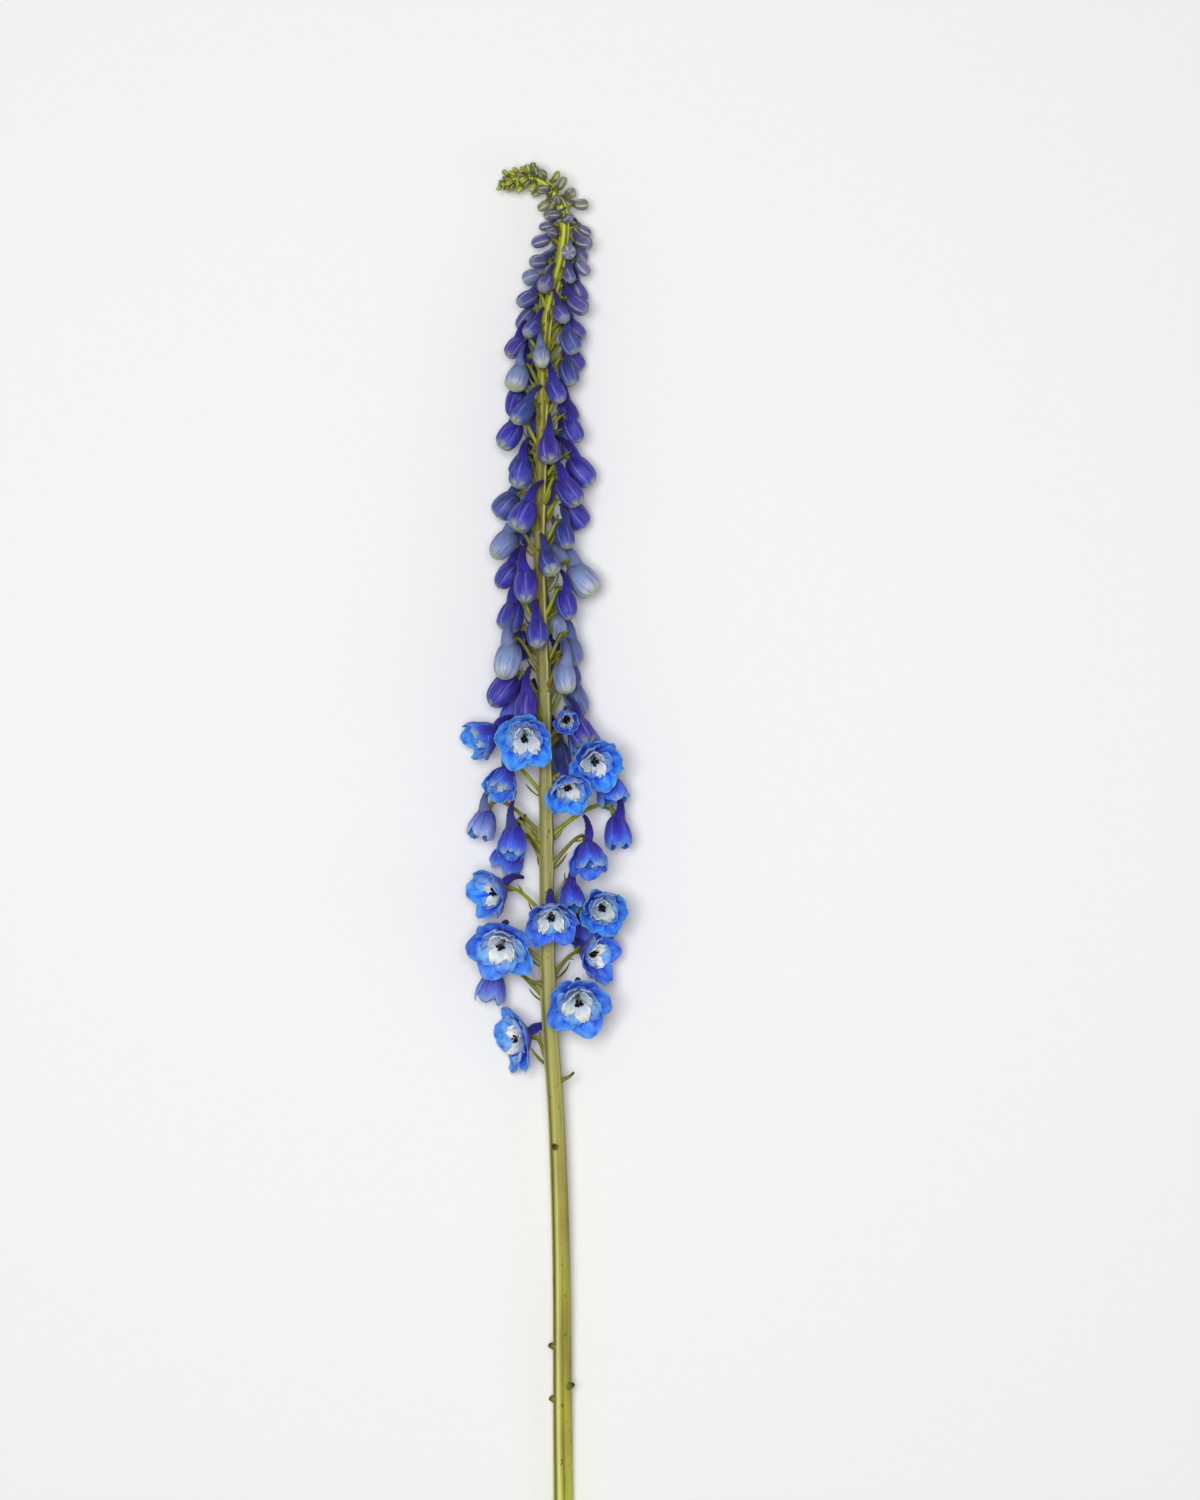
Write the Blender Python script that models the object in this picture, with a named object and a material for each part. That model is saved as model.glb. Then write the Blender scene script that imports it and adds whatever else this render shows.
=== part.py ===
"""Delphinium flower spike, cut and laid on its side.

One stalk carries open florets low down, then ever smaller nodding buds up to its curling tip. Each open floret
is five blue sepals, the upper one drawn back in a spur, round a tuft of pale inner petals. The stalk runs along
+Y from its cut end, and the florets that point down have swung out to its sides, as they do on a table.
Sizes are in millimetres, turned into metres where the meshes are made.
"""

import math
import random

import bmesh
import bpy
import numpy as np
from mathutils import Matrix, Vector
from mathutils.bvhtree import BVHTree

MM = 0.001

# The stalk's middle line from its cut end to its tip: to the right, up the spike and above the table.
STALK_LINE = (
    (9.0, 0, 3.2),
    (8.5, 72, 8.5),
    (8.0, 145, 14.0),
    (5.7, 216, 19.5),
    (1.8, 278, 23.5),
    (0.8, 340, 25.5),
    (0.0, 420, 25.5),
    (-2.5, 498, 23.0),
    (-1.5, 560, 19.5),
    (0.5, 618, 16.5),
    (8.5, 655, 15.0),
    (9.0, 676, 14.5),
    (0.0, 690, 14.0),
    (-12.0, 693, 13.0),
    (-22.5, 690, 12.0),
)
# The stalk's radius at distances along that line.
STALK_RADIUS_AT = (0, 180, 300, 380, 490, 610, 670, 719)
STALK_RADII = (5.0, 4.3, 3.9, 3.4, 2.9, 2.6, 1.9, 0.9)
# Where along it the stalk starts to curl over.
CURL_BEGINS = 620.0
# Where leaves were stripped off the bare stalk: distance along it, degrees round it, and length of what is left.
LEAF_SCARS = ((78, -80, 1.2), (85, 50, 2.2), (105, -75, 1.6), (207, -20, 1.0), (240, 85, 6.0), (289, -70, 9.0))

# Florets that show their open side or their big closed cup, as seen from above.
# Middle: right, up the spike, above the table. Facing: the same three ways. Then how far open, and sepal length.
FLORETS = (
    ((-16, 260, 18), (-0.90, -0.10, 0.40), 0.95, 20.0),
    ((17, 279, 40), (0.10, -0.35, 0.93), 0.75, 20.0),
    ((-27, 286, 16), (-0.20, -0.95, 0.10), 0.20, 17.5),
    ((26, 303, 24), (0.75, -0.10, 0.55), 0.60, 19.0),
    ((-20, 307, 42), (-0.20, -0.42, 0.88), 0.82, 20.5),
    ((1, 321, 50), (0.05, -0.55, 0.83), 0.62, 19.0),
    ((-27, 334, 28), (-0.75, -0.20, 0.62), 0.60, 19.0),
    ((29, 326, 36), (0.20, -0.20, 0.95), 0.50, 19.0),
    ((22, 352, 38), (0.15, -0.88, 0.45), 0.34, 18.5),
    ((-16, 360, 36), (-0.10, -0.95, 0.30), 0.20, 18.0),
    ((-31, 368, 22), (-0.30, -0.92, 0.20), 0.20, 17.0),
    ((13, 332, 31), (0.15, -0.92, 0.35), 0.20, 16.0),
    ((36, 366, 20), (0.15, -0.97, 0.15), 0.16, 18.0),
    ((33, 384, 22), (0.45, -0.85, 0.25), 0.28, 18.0),
    ((12, 386, 50), (0.25, -0.50, 0.83), 0.48, 18.0),
    ((-21, 390, 36), (-0.30, -0.75, 0.60), 0.30, 18.0),
    ((25, 399, 38), (0.20, -0.28, 0.94), 0.65, 19.0),
    ((-10, 411, 50), (-0.05, -0.30, 0.95), 0.66, 19.0),
    ((-31, 412, 22), (-0.85, -0.35, 0.40), 0.40, 18.5),
    ((11, 420, 42), (0.10, -0.30, 0.95), 0.32, 13.0),
    ((19, 314, 5), (0.45, -0.88, -0.15), 0.24, 19.0),
    ((-18, 352, 5), (-0.45, -0.88, -0.15), 0.24, 19.0),
    ((18, 412, 6), (0.40, -0.90, -0.10), 0.20, 18.5),
    ((-14, 425, 6), (-0.40, -0.90, -0.10), 0.20, 18.5),
)
# Florets less open than this are still big buds.
SHUT_BELOW = 0.27
# How far below its floret a floret's own stalk leaves the spike's stalk.
FLORET_STALK_RISE = 13.0

# Buds climb the stalk in a spiral, by the golden angle, each closer to the last and smaller than it.
GOLDEN_ANGLE = 137.508
BUDS_BEGIN, BUDS_END, BUDS_TURN = 397.0, 716.0, 150.0
BUD_STEP_AT = (391, 430, 520, 600, 660, 716)
BUD_STEPS = (7.0, 4.6, 4.4, 3.2, 2.2, 1.4)
BUD_LENGTH_AT = (391, 500, 590, 640, 685, 716)
BUD_LENGTHS = (20.5, 19.0, 15.5, 12.0, 7.5, 3.6)
# Degrees by which a bud looks up from straight out: low buds nod, and the youngest stand out or up.
BUD_LIFT_AT = (391, 600, 650, 685, 716)
BUD_LIFTS = (-68, -58, -25, 12, 40)
SEED = 11
# One bud in this many is left out.
LEFT_OUT_EVERY = 4

# A floret's parts, as shares of its sepals' length.
SEPAL_HALF_WIDTH = 0.36
# A sepal's outline: how wide it is, as a share of its widest, at shares of its length.
OUTLINE_AT = (0.0, 0.12, 0.34, 0.55, 0.75, 0.90, 1.0)
OUTLINE = (0.20, 0.34, 0.72, 1.00, 0.96, 0.72, 0.42)
SPUR_LENGTH = 0.75
THROAT = 0.085
BLADE_THICKNESS = 0.9
STALKLET_RADIUS = 1.0
CLEARANCE = 0.45
JOSTLES = 260
# How high over the table the spiral's buds keep, and how far one may be pressed before it is left out.
BUD_FLOOR = 1.4
TOO_TIGHT = 0.3


def smooth_line(points, steps):
    """Points of a smooth curve through all of the given ones."""
    given = [Vector(point) for point in points]
    ends = [2 * given[0] - given[1], *given, 2 * given[-1] - given[-2]]
    line = []
    for before, start, end, after in zip(ends, ends[1:], ends[2:], ends[3:]):
        for step in range(steps):
            t = step / steps
            bend = 2 * before - 5 * start + 4 * end - after
            swing = 3 * start - before - 3 * end + after
            line.append(0.5 * (2 * start + (end - before) * t + bend * t**2 + swing * t**3))
    return np.array([tuple(point) for point in [*line, given[-1]]])


LINE = smooth_line(STALK_LINE, 24)
ALONG = np.concatenate([[0.0], np.cumsum(np.linalg.norm(np.diff(LINE, axis=0), axis=1))])


def stalk_at(along):
    """The stalk's middle at a distance from its cut end."""
    return Vector([float(np.interp(along, ALONG, LINE[:, axis])) for axis in range(3)])


def stalk_way(along):
    """The way the stalk runs there, towards its tip."""
    return (stalk_at(along + 2) - stalk_at(along - 2)).normalized()


def stalk_radius(along):
    return float(np.interp(along, STALK_RADIUS_AT, STALK_RADII))


def outwards(along, turn):
    """The way out of the stalk there: turn is 0 for up off the table and 90 for the right-hand side."""
    way = stalk_way(along)
    up = Vector((0, 0, 1))
    up = (up - up.dot(way) * way).normalized()
    turn = math.radians(turn)
    return up * math.cos(turn) + way.cross(up) * math.sin(turn)


def sepal_line(length, opening, steps=40):
    """The middle line of a sepal: shares along it, distances out from the floret's axis and forward along it, and
    its slope. Shut sepals bulge and meet in front, and open ones lean ever further out."""
    shares = np.linspace(0, 1, steps + 1)
    back = 1 - 2 * shares
    spread = 58 + 20 * min(1.0, max(0.0, opening) / 0.5)
    slope = np.radians(spread * (0.35 * back + 0.65 * back**3) + 122 * opening * shares**0.9)
    middle = (slope[1:] + slope[:-1]) / 2
    out = THROAT * length + np.concatenate([[0], np.cumsum(np.sin(middle))]) * length / steps
    forward = np.concatenate([[0], np.cumsum(np.cos(middle))]) * length / steps
    return shares, out, forward, slope


class Floret:
    """One floret, open or in bud: where its receptacle is, the way it faces, its size, where its stalk is rooted
    and, for one of the spiral, its heading round the stalk."""

    def __init__(self, place, facing, dorsal, length, opening, root, heading):
        self.place = Vector(place)
        self.facing = Vector(facing).normalized()
        self.dorsal = (dorsal - dorsal.dot(self.facing) * self.facing).normalized()
        self.length = length
        self.opening = opening
        self.root = root
        self.heading = heading
        self.is_bud = opening < SHUT_BELOW

    def frame(self):
        """The floret's own axes as a matrix: Z is the way it faces and Y its upper side."""
        side = self.dorsal.cross(self.facing)
        turned = Matrix((side, self.dorsal, self.facing)).transposed().to_4x4()
        return Matrix.Translation(self.place) @ turned

    def spur_points(self, count=5):
        """The spur's middle line: back from the floret, first out and then in again towards the stalk."""
        start = (self.facing * (0.11 - 0.10 * min(1.0, self.opening / 0.3)) + self.dorsal * 0.14) * self.length
        points = [self.place + start]
        for share in np.linspace(0, 1, count)[1:]:
            lean = math.radians(32 - 64 * share)
            way = self.dorsal * math.sin(lean) - self.facing * math.cos(lean)
            points.append(points[-1] + way * SPUR_LENGTH * self.length / (count - 1))
        return points

    def spheres(self):
        """Offsets and radii of balls that fill the floret, to keep it clear of its neighbours."""
        balls = [(self.facing * 0.26 * self.length, 0.27 * self.length)]
        if self.is_bud:
            balls.append((self.facing * 0.56 * self.length, 0.25 * self.length))
        else:
            shares, out, forward, _ = sepal_line(self.length, self.opening)
            side = self.dorsal.cross(self.facing)
            for turn in range(90, 450, 72):
                spoke = self.dorsal * math.sin(math.radians(turn)) + side * math.cos(math.radians(turn))
                for step, share in ((26, 0.22), (38, 0.13)):
                    balls.append((spoke * float(out[step]) + self.facing * float(forward[step]), share * self.length))
        spur = self.spur_points()
        for step, share in ((1, 0.11), (2, 0.10), (3, 0.08), (4, 0.06)):
            balls.append((spur[step] - self.place, share * self.length))
        return balls


def listed_florets():
    """The florets of the list, each facing as it says, with its stalk rooted a little below it."""
    florets = []
    for middle, facing, opening, length in FLORETS:
        facing = Vector(facing).normalized()
        place = Vector(middle) - facing * 0.45 * length
        root = float(np.interp(place.y - FLORET_STALK_RISE, LINE[:, 1][:240], ALONG[:240]))
        away = place - stalk_at(root)
        dorsal = Vector((0, 1, 0)) + 0.35 * away.normalized()
        florets.append(Floret(place, facing, dorsal, length, opening, root, None))
    return florets


def bud_florets():
    """The buds of the spiral, each nodding out from the stalk by its own small chance."""
    rng = random.Random(SEED)
    florets = []
    along, turn, count = BUDS_BEGIN, BUDS_TURN, 0
    while along < BUDS_END:
        count += 1
        length = float(np.interp(along, BUD_LENGTH_AT, BUD_LENGTHS)) * rng.uniform(0.88, 1.12)
        lift = float(np.interp(along, BUD_LIFT_AT, BUD_LIFTS)) + rng.uniform(-16, 16)
        heading = turn + rng.uniform(-14, 14)
        nod = max(0.0, math.sin(math.radians(-lift)))
        out = outwards(along, heading)
        way = stalk_way(along)
        swerve = way.cross(out) * rng.uniform(-0.3, 0.3)
        lift = math.radians(lift)
        facing = out * math.cos(lift) + way * math.sin(lift) + swerve
        dorsal = way * math.cos(lift) - out * math.sin(lift)
        reach = stalk_radius(along) + length * (0.34 + 0.22 * nod) * rng.uniform(0.85, 1.25)
        place = stalk_at(along) + out * reach + way * length * 0.75 * nod
        opening = rng.uniform(-0.05, 0.10)
        if count % LEFT_OUT_EVERY:
            florets.append(Floret(place, facing, dorsal, length, opening, along, heading))
        along += float(np.interp(along, BUD_STEP_AT, BUD_STEPS))
        turn += GOLDEN_ANGLE
    return florets


def jostle(florets):
    """Moves the florets a little until none presses into another, into the stalk or into the table, and gives back
    those that have room."""
    owner, offset, radius = [], [], []
    for index, floret in enumerate(florets):
        for ball, size in floret.spheres():
            owner.append(index)
            offset.append(tuple(ball))
            radius.append(size)
    owner, offset, radius = np.array(owner), np.array(offset), np.array(radius)
    home = np.array([tuple(floret.place) for floret in florets])
    ease = np.array([0.35 if floret.heading is None else 1.0 for floret in florets])
    floor = np.array([0.0 if floret.heading is None else BUD_FLOOR for floret in florets])
    thick = np.interp(ALONG, STALK_RADIUS_AT, STALK_RADII)
    place = home.copy()
    apart = owner[:, None] != owner[None, :]
    for _ in range(JOSTLES):
        at = place[owner] + offset
        gap = at[:, None] - at[None, :]
        far = np.linalg.norm(gap, axis=2) + 1e-9
        press = np.clip(radius[:, None] + radius[None, :] + CLEARANCE - far, 0, None) * apart
        share = ease[owner][:, None] / (ease[owner][:, None] + ease[owner][None, :])
        push = (gap / far[:, :, None] * (press * share)[:, :, None]).sum(axis=1)
        spread = at[:, None] - LINE[None, :]
        clear = np.linalg.norm(spread, axis=2) - thick[None, :]
        nearest = clear.argmin(axis=1)
        rows = np.arange(len(at))
        into = np.clip(radius + CLEARANCE - clear[rows, nearest], 0, None)
        from_line = spread[rows, nearest]
        push += from_line / (np.linalg.norm(from_line, axis=1)[:, None] + 1e-9) * into[:, None]
        push[:, 2] += np.clip(radius + floor[owner] - at[:, 2], 0, None)
        moved = np.zeros_like(place)
        np.add.at(moved, owner, push)
        place += 0.30 * moved + 0.01 * (home - place)
    for floret, spot in zip(florets, place):
        floret.place = Vector(spot)
    pressed = np.zeros(len(florets))
    np.maximum.at(pressed, owner, press.max(axis=1))
    flowers = np.array([not florets[index].is_bud for index in owner])
    at = (place[owner] + offset)[flowers]
    roomy = []
    for floret, tight in zip(florets, pressed):
        line, _ = stalklet_line(floret, 0.0, 12)
        line = np.array([tuple(point) for point in line])
        far = np.linalg.norm(line[:, None] - at[None, :], axis=2) - radius[flowers][None, :]
        if floret.heading is None or (tight < TOO_TIGHT and far.min() > STALKLET_RADIUS):
            roomy.append(floret)
    return roomy


def material(name, colour, roughness):
    made = bpy.data.materials.new(name)
    made.use_nodes = True
    shader = made.node_tree.nodes["Principled BSDF"]
    shader.inputs["Base Color"].default_value = (*colour, 1)
    shader.inputs["Roughness"].default_value = roughness
    return made


def shown(name, mesh):
    """A new object with that mesh, in the scene."""
    made = bpy.data.objects.new(name, mesh)
    bpy.context.scene.collection.objects.link(made)
    return made


def from_bmesh(name, bm):
    """A new object from a bmesh in millimetres, its faces pointing out."""
    bmesh.ops.recalc_face_normals(bm, faces=bm.faces)
    bmesh.ops.scale(bm, vec=(MM, MM, MM), verts=bm.verts)
    mesh = bpy.data.meshes.new(name)
    bm.to_mesh(mesh)
    bm.free()
    return shown(name, mesh)


def tube(name, points, radii, resolution):
    """A round solid along the points, each with its own radius. resolution 0 gives 4 sides, and each step 2 more."""
    curve = bpy.data.curves.new(name, "CURVE")
    curve.dimensions = "3D"
    curve.bevel_depth = MM
    curve.bevel_resolution = resolution
    curve.use_fill_caps = True
    spline = curve.splines.new("POLY")
    spline.points.add(len(points) - 1)
    for spot, point, radius in zip(spline.points, points, radii):
        spot.co = (*(Vector(point) * MM), 1)
        spot.radius = radius
    guide = shown(name, curve)
    graph = bpy.context.evaluated_depsgraph_get()
    mesh = bpy.data.meshes.new_from_object(guide.evaluated_get(graph))
    bpy.data.objects.remove(guide)
    bm = bmesh.new()
    bm.from_mesh(mesh)
    bmesh.ops.remove_doubles(bm, verts=bm.verts, dist=1e-6)
    bmesh.ops.recalc_face_normals(bm, faces=bm.faces)
    bm.to_mesh(mesh)
    bm.free()
    return shown(name, mesh)


def bezier(start, leave, arrive, end, steps):
    """Points of a curve that leaves start towards leave and reaches end from arrive."""
    points = []
    for step in range(steps + 1):
        t = step / steps
        u = 1 - t
        points.append(start * u**3 + leave * 3 * u**2 * t + arrive * 3 * u * t**2 + end * t**3)
    return points


def bud(floret, stalk_steps, shares):
    """A shut bud on its own thin stalk: up out of the spike's stalk, over in a crook, and into the egg of sepals."""
    points, radii = stalklet_line(floret, 0.0, stalk_steps)
    along, out, forward, _ = sepal_line(floret.length, floret.opening)
    for share in shares:
        points.append(floret.place + floret.facing * float(np.interp(share, along, forward)))
        radii.append(max(0.04 * floret.length, float(np.interp(share, along, out))))
    return tube("bud", points, radii, 1)


def blades(floret, drum, count, columns, rows, line, half_width):
    """A ring of blades grown out of the sides of a small drum, given by its radius and its low and high end. Each
    blade's edges curl forward like a spoon, and it keeps to its own part of the circle."""
    radius, low, high = drum
    shares, out, forward, slope = line
    sector = 2 * math.pi / count
    bm = bmesh.new()
    bmesh.ops.create_cone(
        bm, cap_ends=True, segments=count * columns, radius1=radius, radius2=radius, depth=high - low
    )
    across = bm.verts.layers.float.new("across")
    level = bm.verts.layers.float.new("level")
    bm.normal_update()
    walls = [(face, face.calc_center_median().normalized()) for face in bm.faces if abs(face.normal.z) < 0.5]
    for index in range(count):
        middle = math.pi / 2 + index * sector - (sector / 2 if columns == 1 else 0)
        way = Vector((math.cos(middle), math.sin(middle), 0))
        side = Vector((-way.y, way.x, 0))
        grown = [face for face, heading in walls if heading.dot(way) > 0.93]
        for share in rows:
            old = grown
            made = bmesh.ops.extrude_face_region(bm, geom=old)["geom"]
            bmesh.ops.delete(bm, geom=old, context="FACES")
            grown = [item for item in made if isinstance(item, bmesh.types.BMFace)]
            distance, height, lean = (float(np.interp(share, shares, row)) for row in (out, forward, slope))
            distance += radius - float(out[0])
            width = min(half_width * float(np.interp(share, OUTLINE_AT, OUTLINE)), distance * sector * 0.49)
            hollow = max(distance, 2.5) * (1 + 0.4 * max(0.0, floret.opening)) + 0.3
            for vert in (item for item in made if isinstance(item, bmesh.types.BMVert)):
                if share == rows[0]:
                    edge = radius * math.sin(sector / 2)
                    vert[across] = round(vert.co.dot(side) / edge)
                    vert[level] = 0.5 if vert.co.z > 0 else -0.5
                angle = vert[across] * width / hollow
                lift = hollow * (1 - math.cos(angle)) + vert[level] * BLADE_THICKNESS
                vert.co = way * (distance - lift * math.cos(lean)) + side * hollow * math.sin(angle)
                vert.co.z = height + lift * math.sin(lean)
    bmesh.ops.translate(bm, vec=(0, 0, (low + high) / 2), verts=bm.verts)
    bmesh.ops.transform(bm, matrix=floret.frame(), verts=bm.verts)
    return from_bmesh("blades", bm)


def spur(floret, resolution, count):
    """The long tapering spur behind the upper sepal."""
    points = floret.spur_points(5)
    points = [points[round(index * 4 / (count - 1))] for index in range(count)]
    widest = 0.125 * floret.length
    radii = [widest * (1 - 0.72 * index / (count - 1)) for index in range(count)]
    return tube("spur", points, radii, resolution)


def stalklet_line(floret, gap, steps):
    """The middle line and radii of a floret's own thin stalk, which ends short of the floret by the gap."""
    out = floret.place - stalk_at(floret.root)
    way = stalk_way(floret.root)
    out = (out - out.dot(way) * way).normalized()
    root = stalk_at(floret.root) + out * stalk_radius(floret.root) * 0.4
    end = floret.place - floret.facing * gap
    span = (end - root).length
    leave = root + (out * 0.75 + way * 0.65) * span * 0.40
    arrive = end - floret.facing * span * 0.42 - floret.dorsal * span * 0.05
    thick = min(STALKLET_RADIUS, 0.085 * floret.length)
    return bezier(root, leave, arrive, end, steps), [thick * (1.25 - 0.40 * i / steps) for i in range(steps + 1)]


def bract(along, turn, length):
    """A narrow pointed leaf under a floret's stalk."""
    out, way = outwards(along, turn), stalk_way(along)
    start = stalk_at(along) + out * (stalk_radius(along) - 0.8)
    points = [start, start + (out + way * 0.7) * length * 0.45, start + (out * 0.9 + way * 1.5) * length * 0.62]
    return tube("bract", points, (0.9, 0.7, 0.35), 0)


def join(body, pieces):
    """Joins the pieces into body, in one union, and removes them."""
    group = bpy.data.collections.new("joined")
    bpy.context.scene.collection.children.link(group)
    for piece in pieces:
        group.objects.link(piece)
        bpy.context.scene.collection.objects.unlink(piece)
    union = body.modifiers.new("join", "BOOLEAN")
    union.operation = "UNION"
    union.operand_type = "COLLECTION"
    union.collection = group
    union.solver = "MANIFOLD"
    graph = bpy.context.evaluated_depsgraph_get()
    mesh = bpy.data.meshes.new_from_object(body.evaluated_get(graph))
    body.modifiers.clear()
    body.data = mesh
    for piece in pieces:
        bpy.data.objects.remove(piece)
    bpy.data.collections.remove(group)
    return body


def finish(node, look):
    """Gives a node its material and smooth round faces."""
    node.data.materials.clear()
    node.data.materials.append(look)
    node.data.shade_smooth()
    node.data.set_sharp_from_angle(angle=math.radians(50))
    return node


def faces_of(piece):
    """A search tree of an object's faces."""
    corners = [vert.co for vert in piece.data.vertices]
    return BVHTree.FromPolygons(corners, [tuple(face.vertices) for face in piece.data.polygons])


def bud_pieces(floret):
    """A bud on its stalk, with its spur unless it is too young to have one, simpler the smaller it is."""
    if floret.length > 12:
        return [bud(floret, 2, (0.18, 0.55, 1.0)), spur(floret, 0, 3)]
    if floret.length > 8:
        return [bud(floret, 2, (0.18, 0.55, 1.0))]
    return [bud(floret, 1, (0.15, 0.55, 1.0))]


def make_stalk(florets, flowers, look):
    """The stalk from its cut end to its tip, with leaf scars, bracts, floret stalks and buds, all grown together.
    A bud of the spiral that would press into an open flower is left out."""
    rings = [*np.linspace(0, CURL_BEGINS, 26), *np.linspace(CURL_BEGINS, ALONG[-1], 20)[1:]]
    points = [stalk_at(along) for along in rings]
    stalk = tube("flower_stalk", points, [stalk_radius(along) for along in rings], 2)
    pieces = []
    for along, turn, length in LEAF_SCARS:
        out, way = outwards(along, turn), stalk_way(along)
        root = stalk_at(along) + out * (stalk_radius(along) - 2.0)
        tips = [root, root + out * (2.2 + length * 0.5), root + out * (2.4 + length) + way * length * 0.6]
        pieces.append(tube("scar", tips, (2.4, 1.9, 1.2), 0))
    trees = [faces_of(flower) for flower in flowers]
    for index, floret in enumerate(florets):
        if floret.is_bud:
            grown = bud_pieces(floret)
        else:
            points, radii = stalklet_line(floret, 0.8 + CLEARANCE, 4)
            grown = [tube("stalklet", points, radii, 0)]
        if index % 4 == 0:
            side = floret.place - stalk_at(floret.root)
            turn = math.atan2(side.dot(outwards(floret.root, 90)), side.dot(outwards(floret.root, 0)))
            grown.append(bract(floret.root - 1.5, math.degrees(turn) + 25, 0.40 * floret.length + 2))
        crossed = any(faces_of(piece).overlap(tree) for piece in grown for tree in trees)
        if floret.heading is not None and crossed:
            for piece in grown:
                bpy.data.objects.remove(piece)
        else:
            pieces.extend(grown)
    return finish(join(stalk, pieces), look)


def make_floret(number, floret, blue, white):
    """An open floret's two bodies: the blue sepals with their spur, and the pale tuft in their middle."""
    half_width = SEPAL_HALF_WIDTH * floret.length
    drum = (THROAT * floret.length, -0.8, 0.8)
    cup = blades(floret, drum, 5, 2, (0.34, 0.68, 1.0), sepal_line(floret.length, floret.opening), half_width)
    cup.name = f"floret_{number:02d}_sepals"
    finish(join(cup, [spur(floret, 1, 4)]), blue)
    small = (0.40 + 0.12 * floret.opening) * floret.length
    inner = sepal_line(small, min(0.55, floret.opening * 0.7) - 0.05)
    drum = (1.5, 0.8 + CLEARANCE, 2.6)
    tuft = blades(floret, drum, 4, 1, (0.55, 1.0), inner, 0.30 * small)
    tuft.name = f"floret_{number:02d}_bee"
    finish(tuft, white)


def stand_on_table(nodes):
    """Moves all nodes so that the lowest point is at 0 and the spike's outline is centred on the origin."""
    corners = [node.matrix_world @ vert.co for node in nodes for vert in node.data.vertices]
    low = Vector([min(corner[axis] for corner in corners) for axis in range(3)])
    high = Vector([max(corner[axis] for corner in corners) for axis in range(3)])
    shift = Vector(((low.x + high.x) / 2, (low.y + high.y) / 2, low.z))
    for node in nodes:
        node.data.transform(Matrix.Translation(-shift))


def main():
    for old in list(bpy.data.objects):
        bpy.data.objects.remove(old)
    green = material("stalk_green", (0.20, 0.21, 0.05), 0.55)
    blue = material("sepal_blue", (0.07, 0.11, 0.60), 0.5)
    white = material("bee_white", (0.72, 0.76, 0.74), 0.6)
    florets = listed_florets() + bud_florets()
    florets = jostle(florets)
    for number, floret in enumerate([floret for floret in florets if not floret.is_bud], 1):
        make_floret(number, floret, blue, white)
    make_stalk(florets, list(bpy.data.objects), green)
    stand_on_table(list(bpy.data.objects))


main()
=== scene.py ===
import math
import random

import bpy
import numpy as np
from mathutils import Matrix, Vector


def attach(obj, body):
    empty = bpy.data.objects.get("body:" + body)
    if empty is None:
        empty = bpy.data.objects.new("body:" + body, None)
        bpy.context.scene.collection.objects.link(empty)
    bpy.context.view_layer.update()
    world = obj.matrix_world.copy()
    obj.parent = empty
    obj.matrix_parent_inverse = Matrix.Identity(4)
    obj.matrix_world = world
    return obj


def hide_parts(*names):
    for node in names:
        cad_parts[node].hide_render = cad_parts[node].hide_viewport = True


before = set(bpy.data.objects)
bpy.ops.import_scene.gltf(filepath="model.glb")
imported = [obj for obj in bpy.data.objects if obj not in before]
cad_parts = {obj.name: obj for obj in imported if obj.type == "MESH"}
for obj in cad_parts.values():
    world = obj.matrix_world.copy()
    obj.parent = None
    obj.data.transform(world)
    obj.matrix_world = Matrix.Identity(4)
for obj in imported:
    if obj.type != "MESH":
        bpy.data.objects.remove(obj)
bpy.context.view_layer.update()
bpy.ops.object.select_all(action="DESELECT")

# Table, light and camera
# The flower spike lies on a plain pale table, and the camera looks straight down on it. A broad soft lamp
# hangs almost straight over it, a weak one stands off to its right, and a pale room fills the shadows.

TABLE_SIDE, TABLE_BELOW = 8, 0.0002
TABLE_GREY = 0.92
ROOM_LIGHT = 0.20
CAMERA_OVER_TABLE = 2.03
# The spot of the spike that the camera stands over, across it and along it in the spike's own millimetres.
CAMERA_OVER_SPIKE = (27.5, 405)
LENS_MM = 96.0
# Each lamp: name, place, power and width.
LAMPS = (("broad_lamp", (-0.15, 0.12, 2.4), 29.2, 0.8), ("side_lamp", (1.6, -0.6, 1.4), 1.4, 1.2))

bpy.context.scene.view_settings.view_transform = "Standard"
bpy.context.scene.view_settings.look = "High Contrast"
bpy.ops.mesh.primitive_plane_add(size=TABLE_SIDE, location=(0, 0, -TABLE_BELOW))
table = bpy.context.object
table.name = "table"
table_paint = bpy.data.materials.new("table_paint")
table_paint.use_nodes = True
table_shader = table_paint.node_tree.nodes["Principled BSDF"]
table_shader.inputs["Base Color"].default_value = (TABLE_GREY, TABLE_GREY, TABLE_GREY, 1)
table_shader.inputs["Roughness"].default_value = 0.9
table_shader.inputs["Specular IOR Level"].default_value = 0.1
table.data.materials.append(table_paint)

room = bpy.data.worlds.new("pale_room")
bpy.context.scene.world = room
room.use_nodes = True
room.node_tree.nodes["Background"].inputs["Color"].default_value = (1.0, 1.0, 1.0, 1)
room.node_tree.nodes["Background"].inputs["Strength"].default_value = ROOM_LIGHT

for name, spot, power, width in LAMPS:
    bpy.ops.object.light_add(type="AREA", location=spot)
    lamp = bpy.context.object
    lamp.name = name
    lamp.data.energy = power
    lamp.data.size = width
    lamp.rotation_euler = (-Vector(spot)).to_track_quat("-Z", "Y").to_euler()

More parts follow.
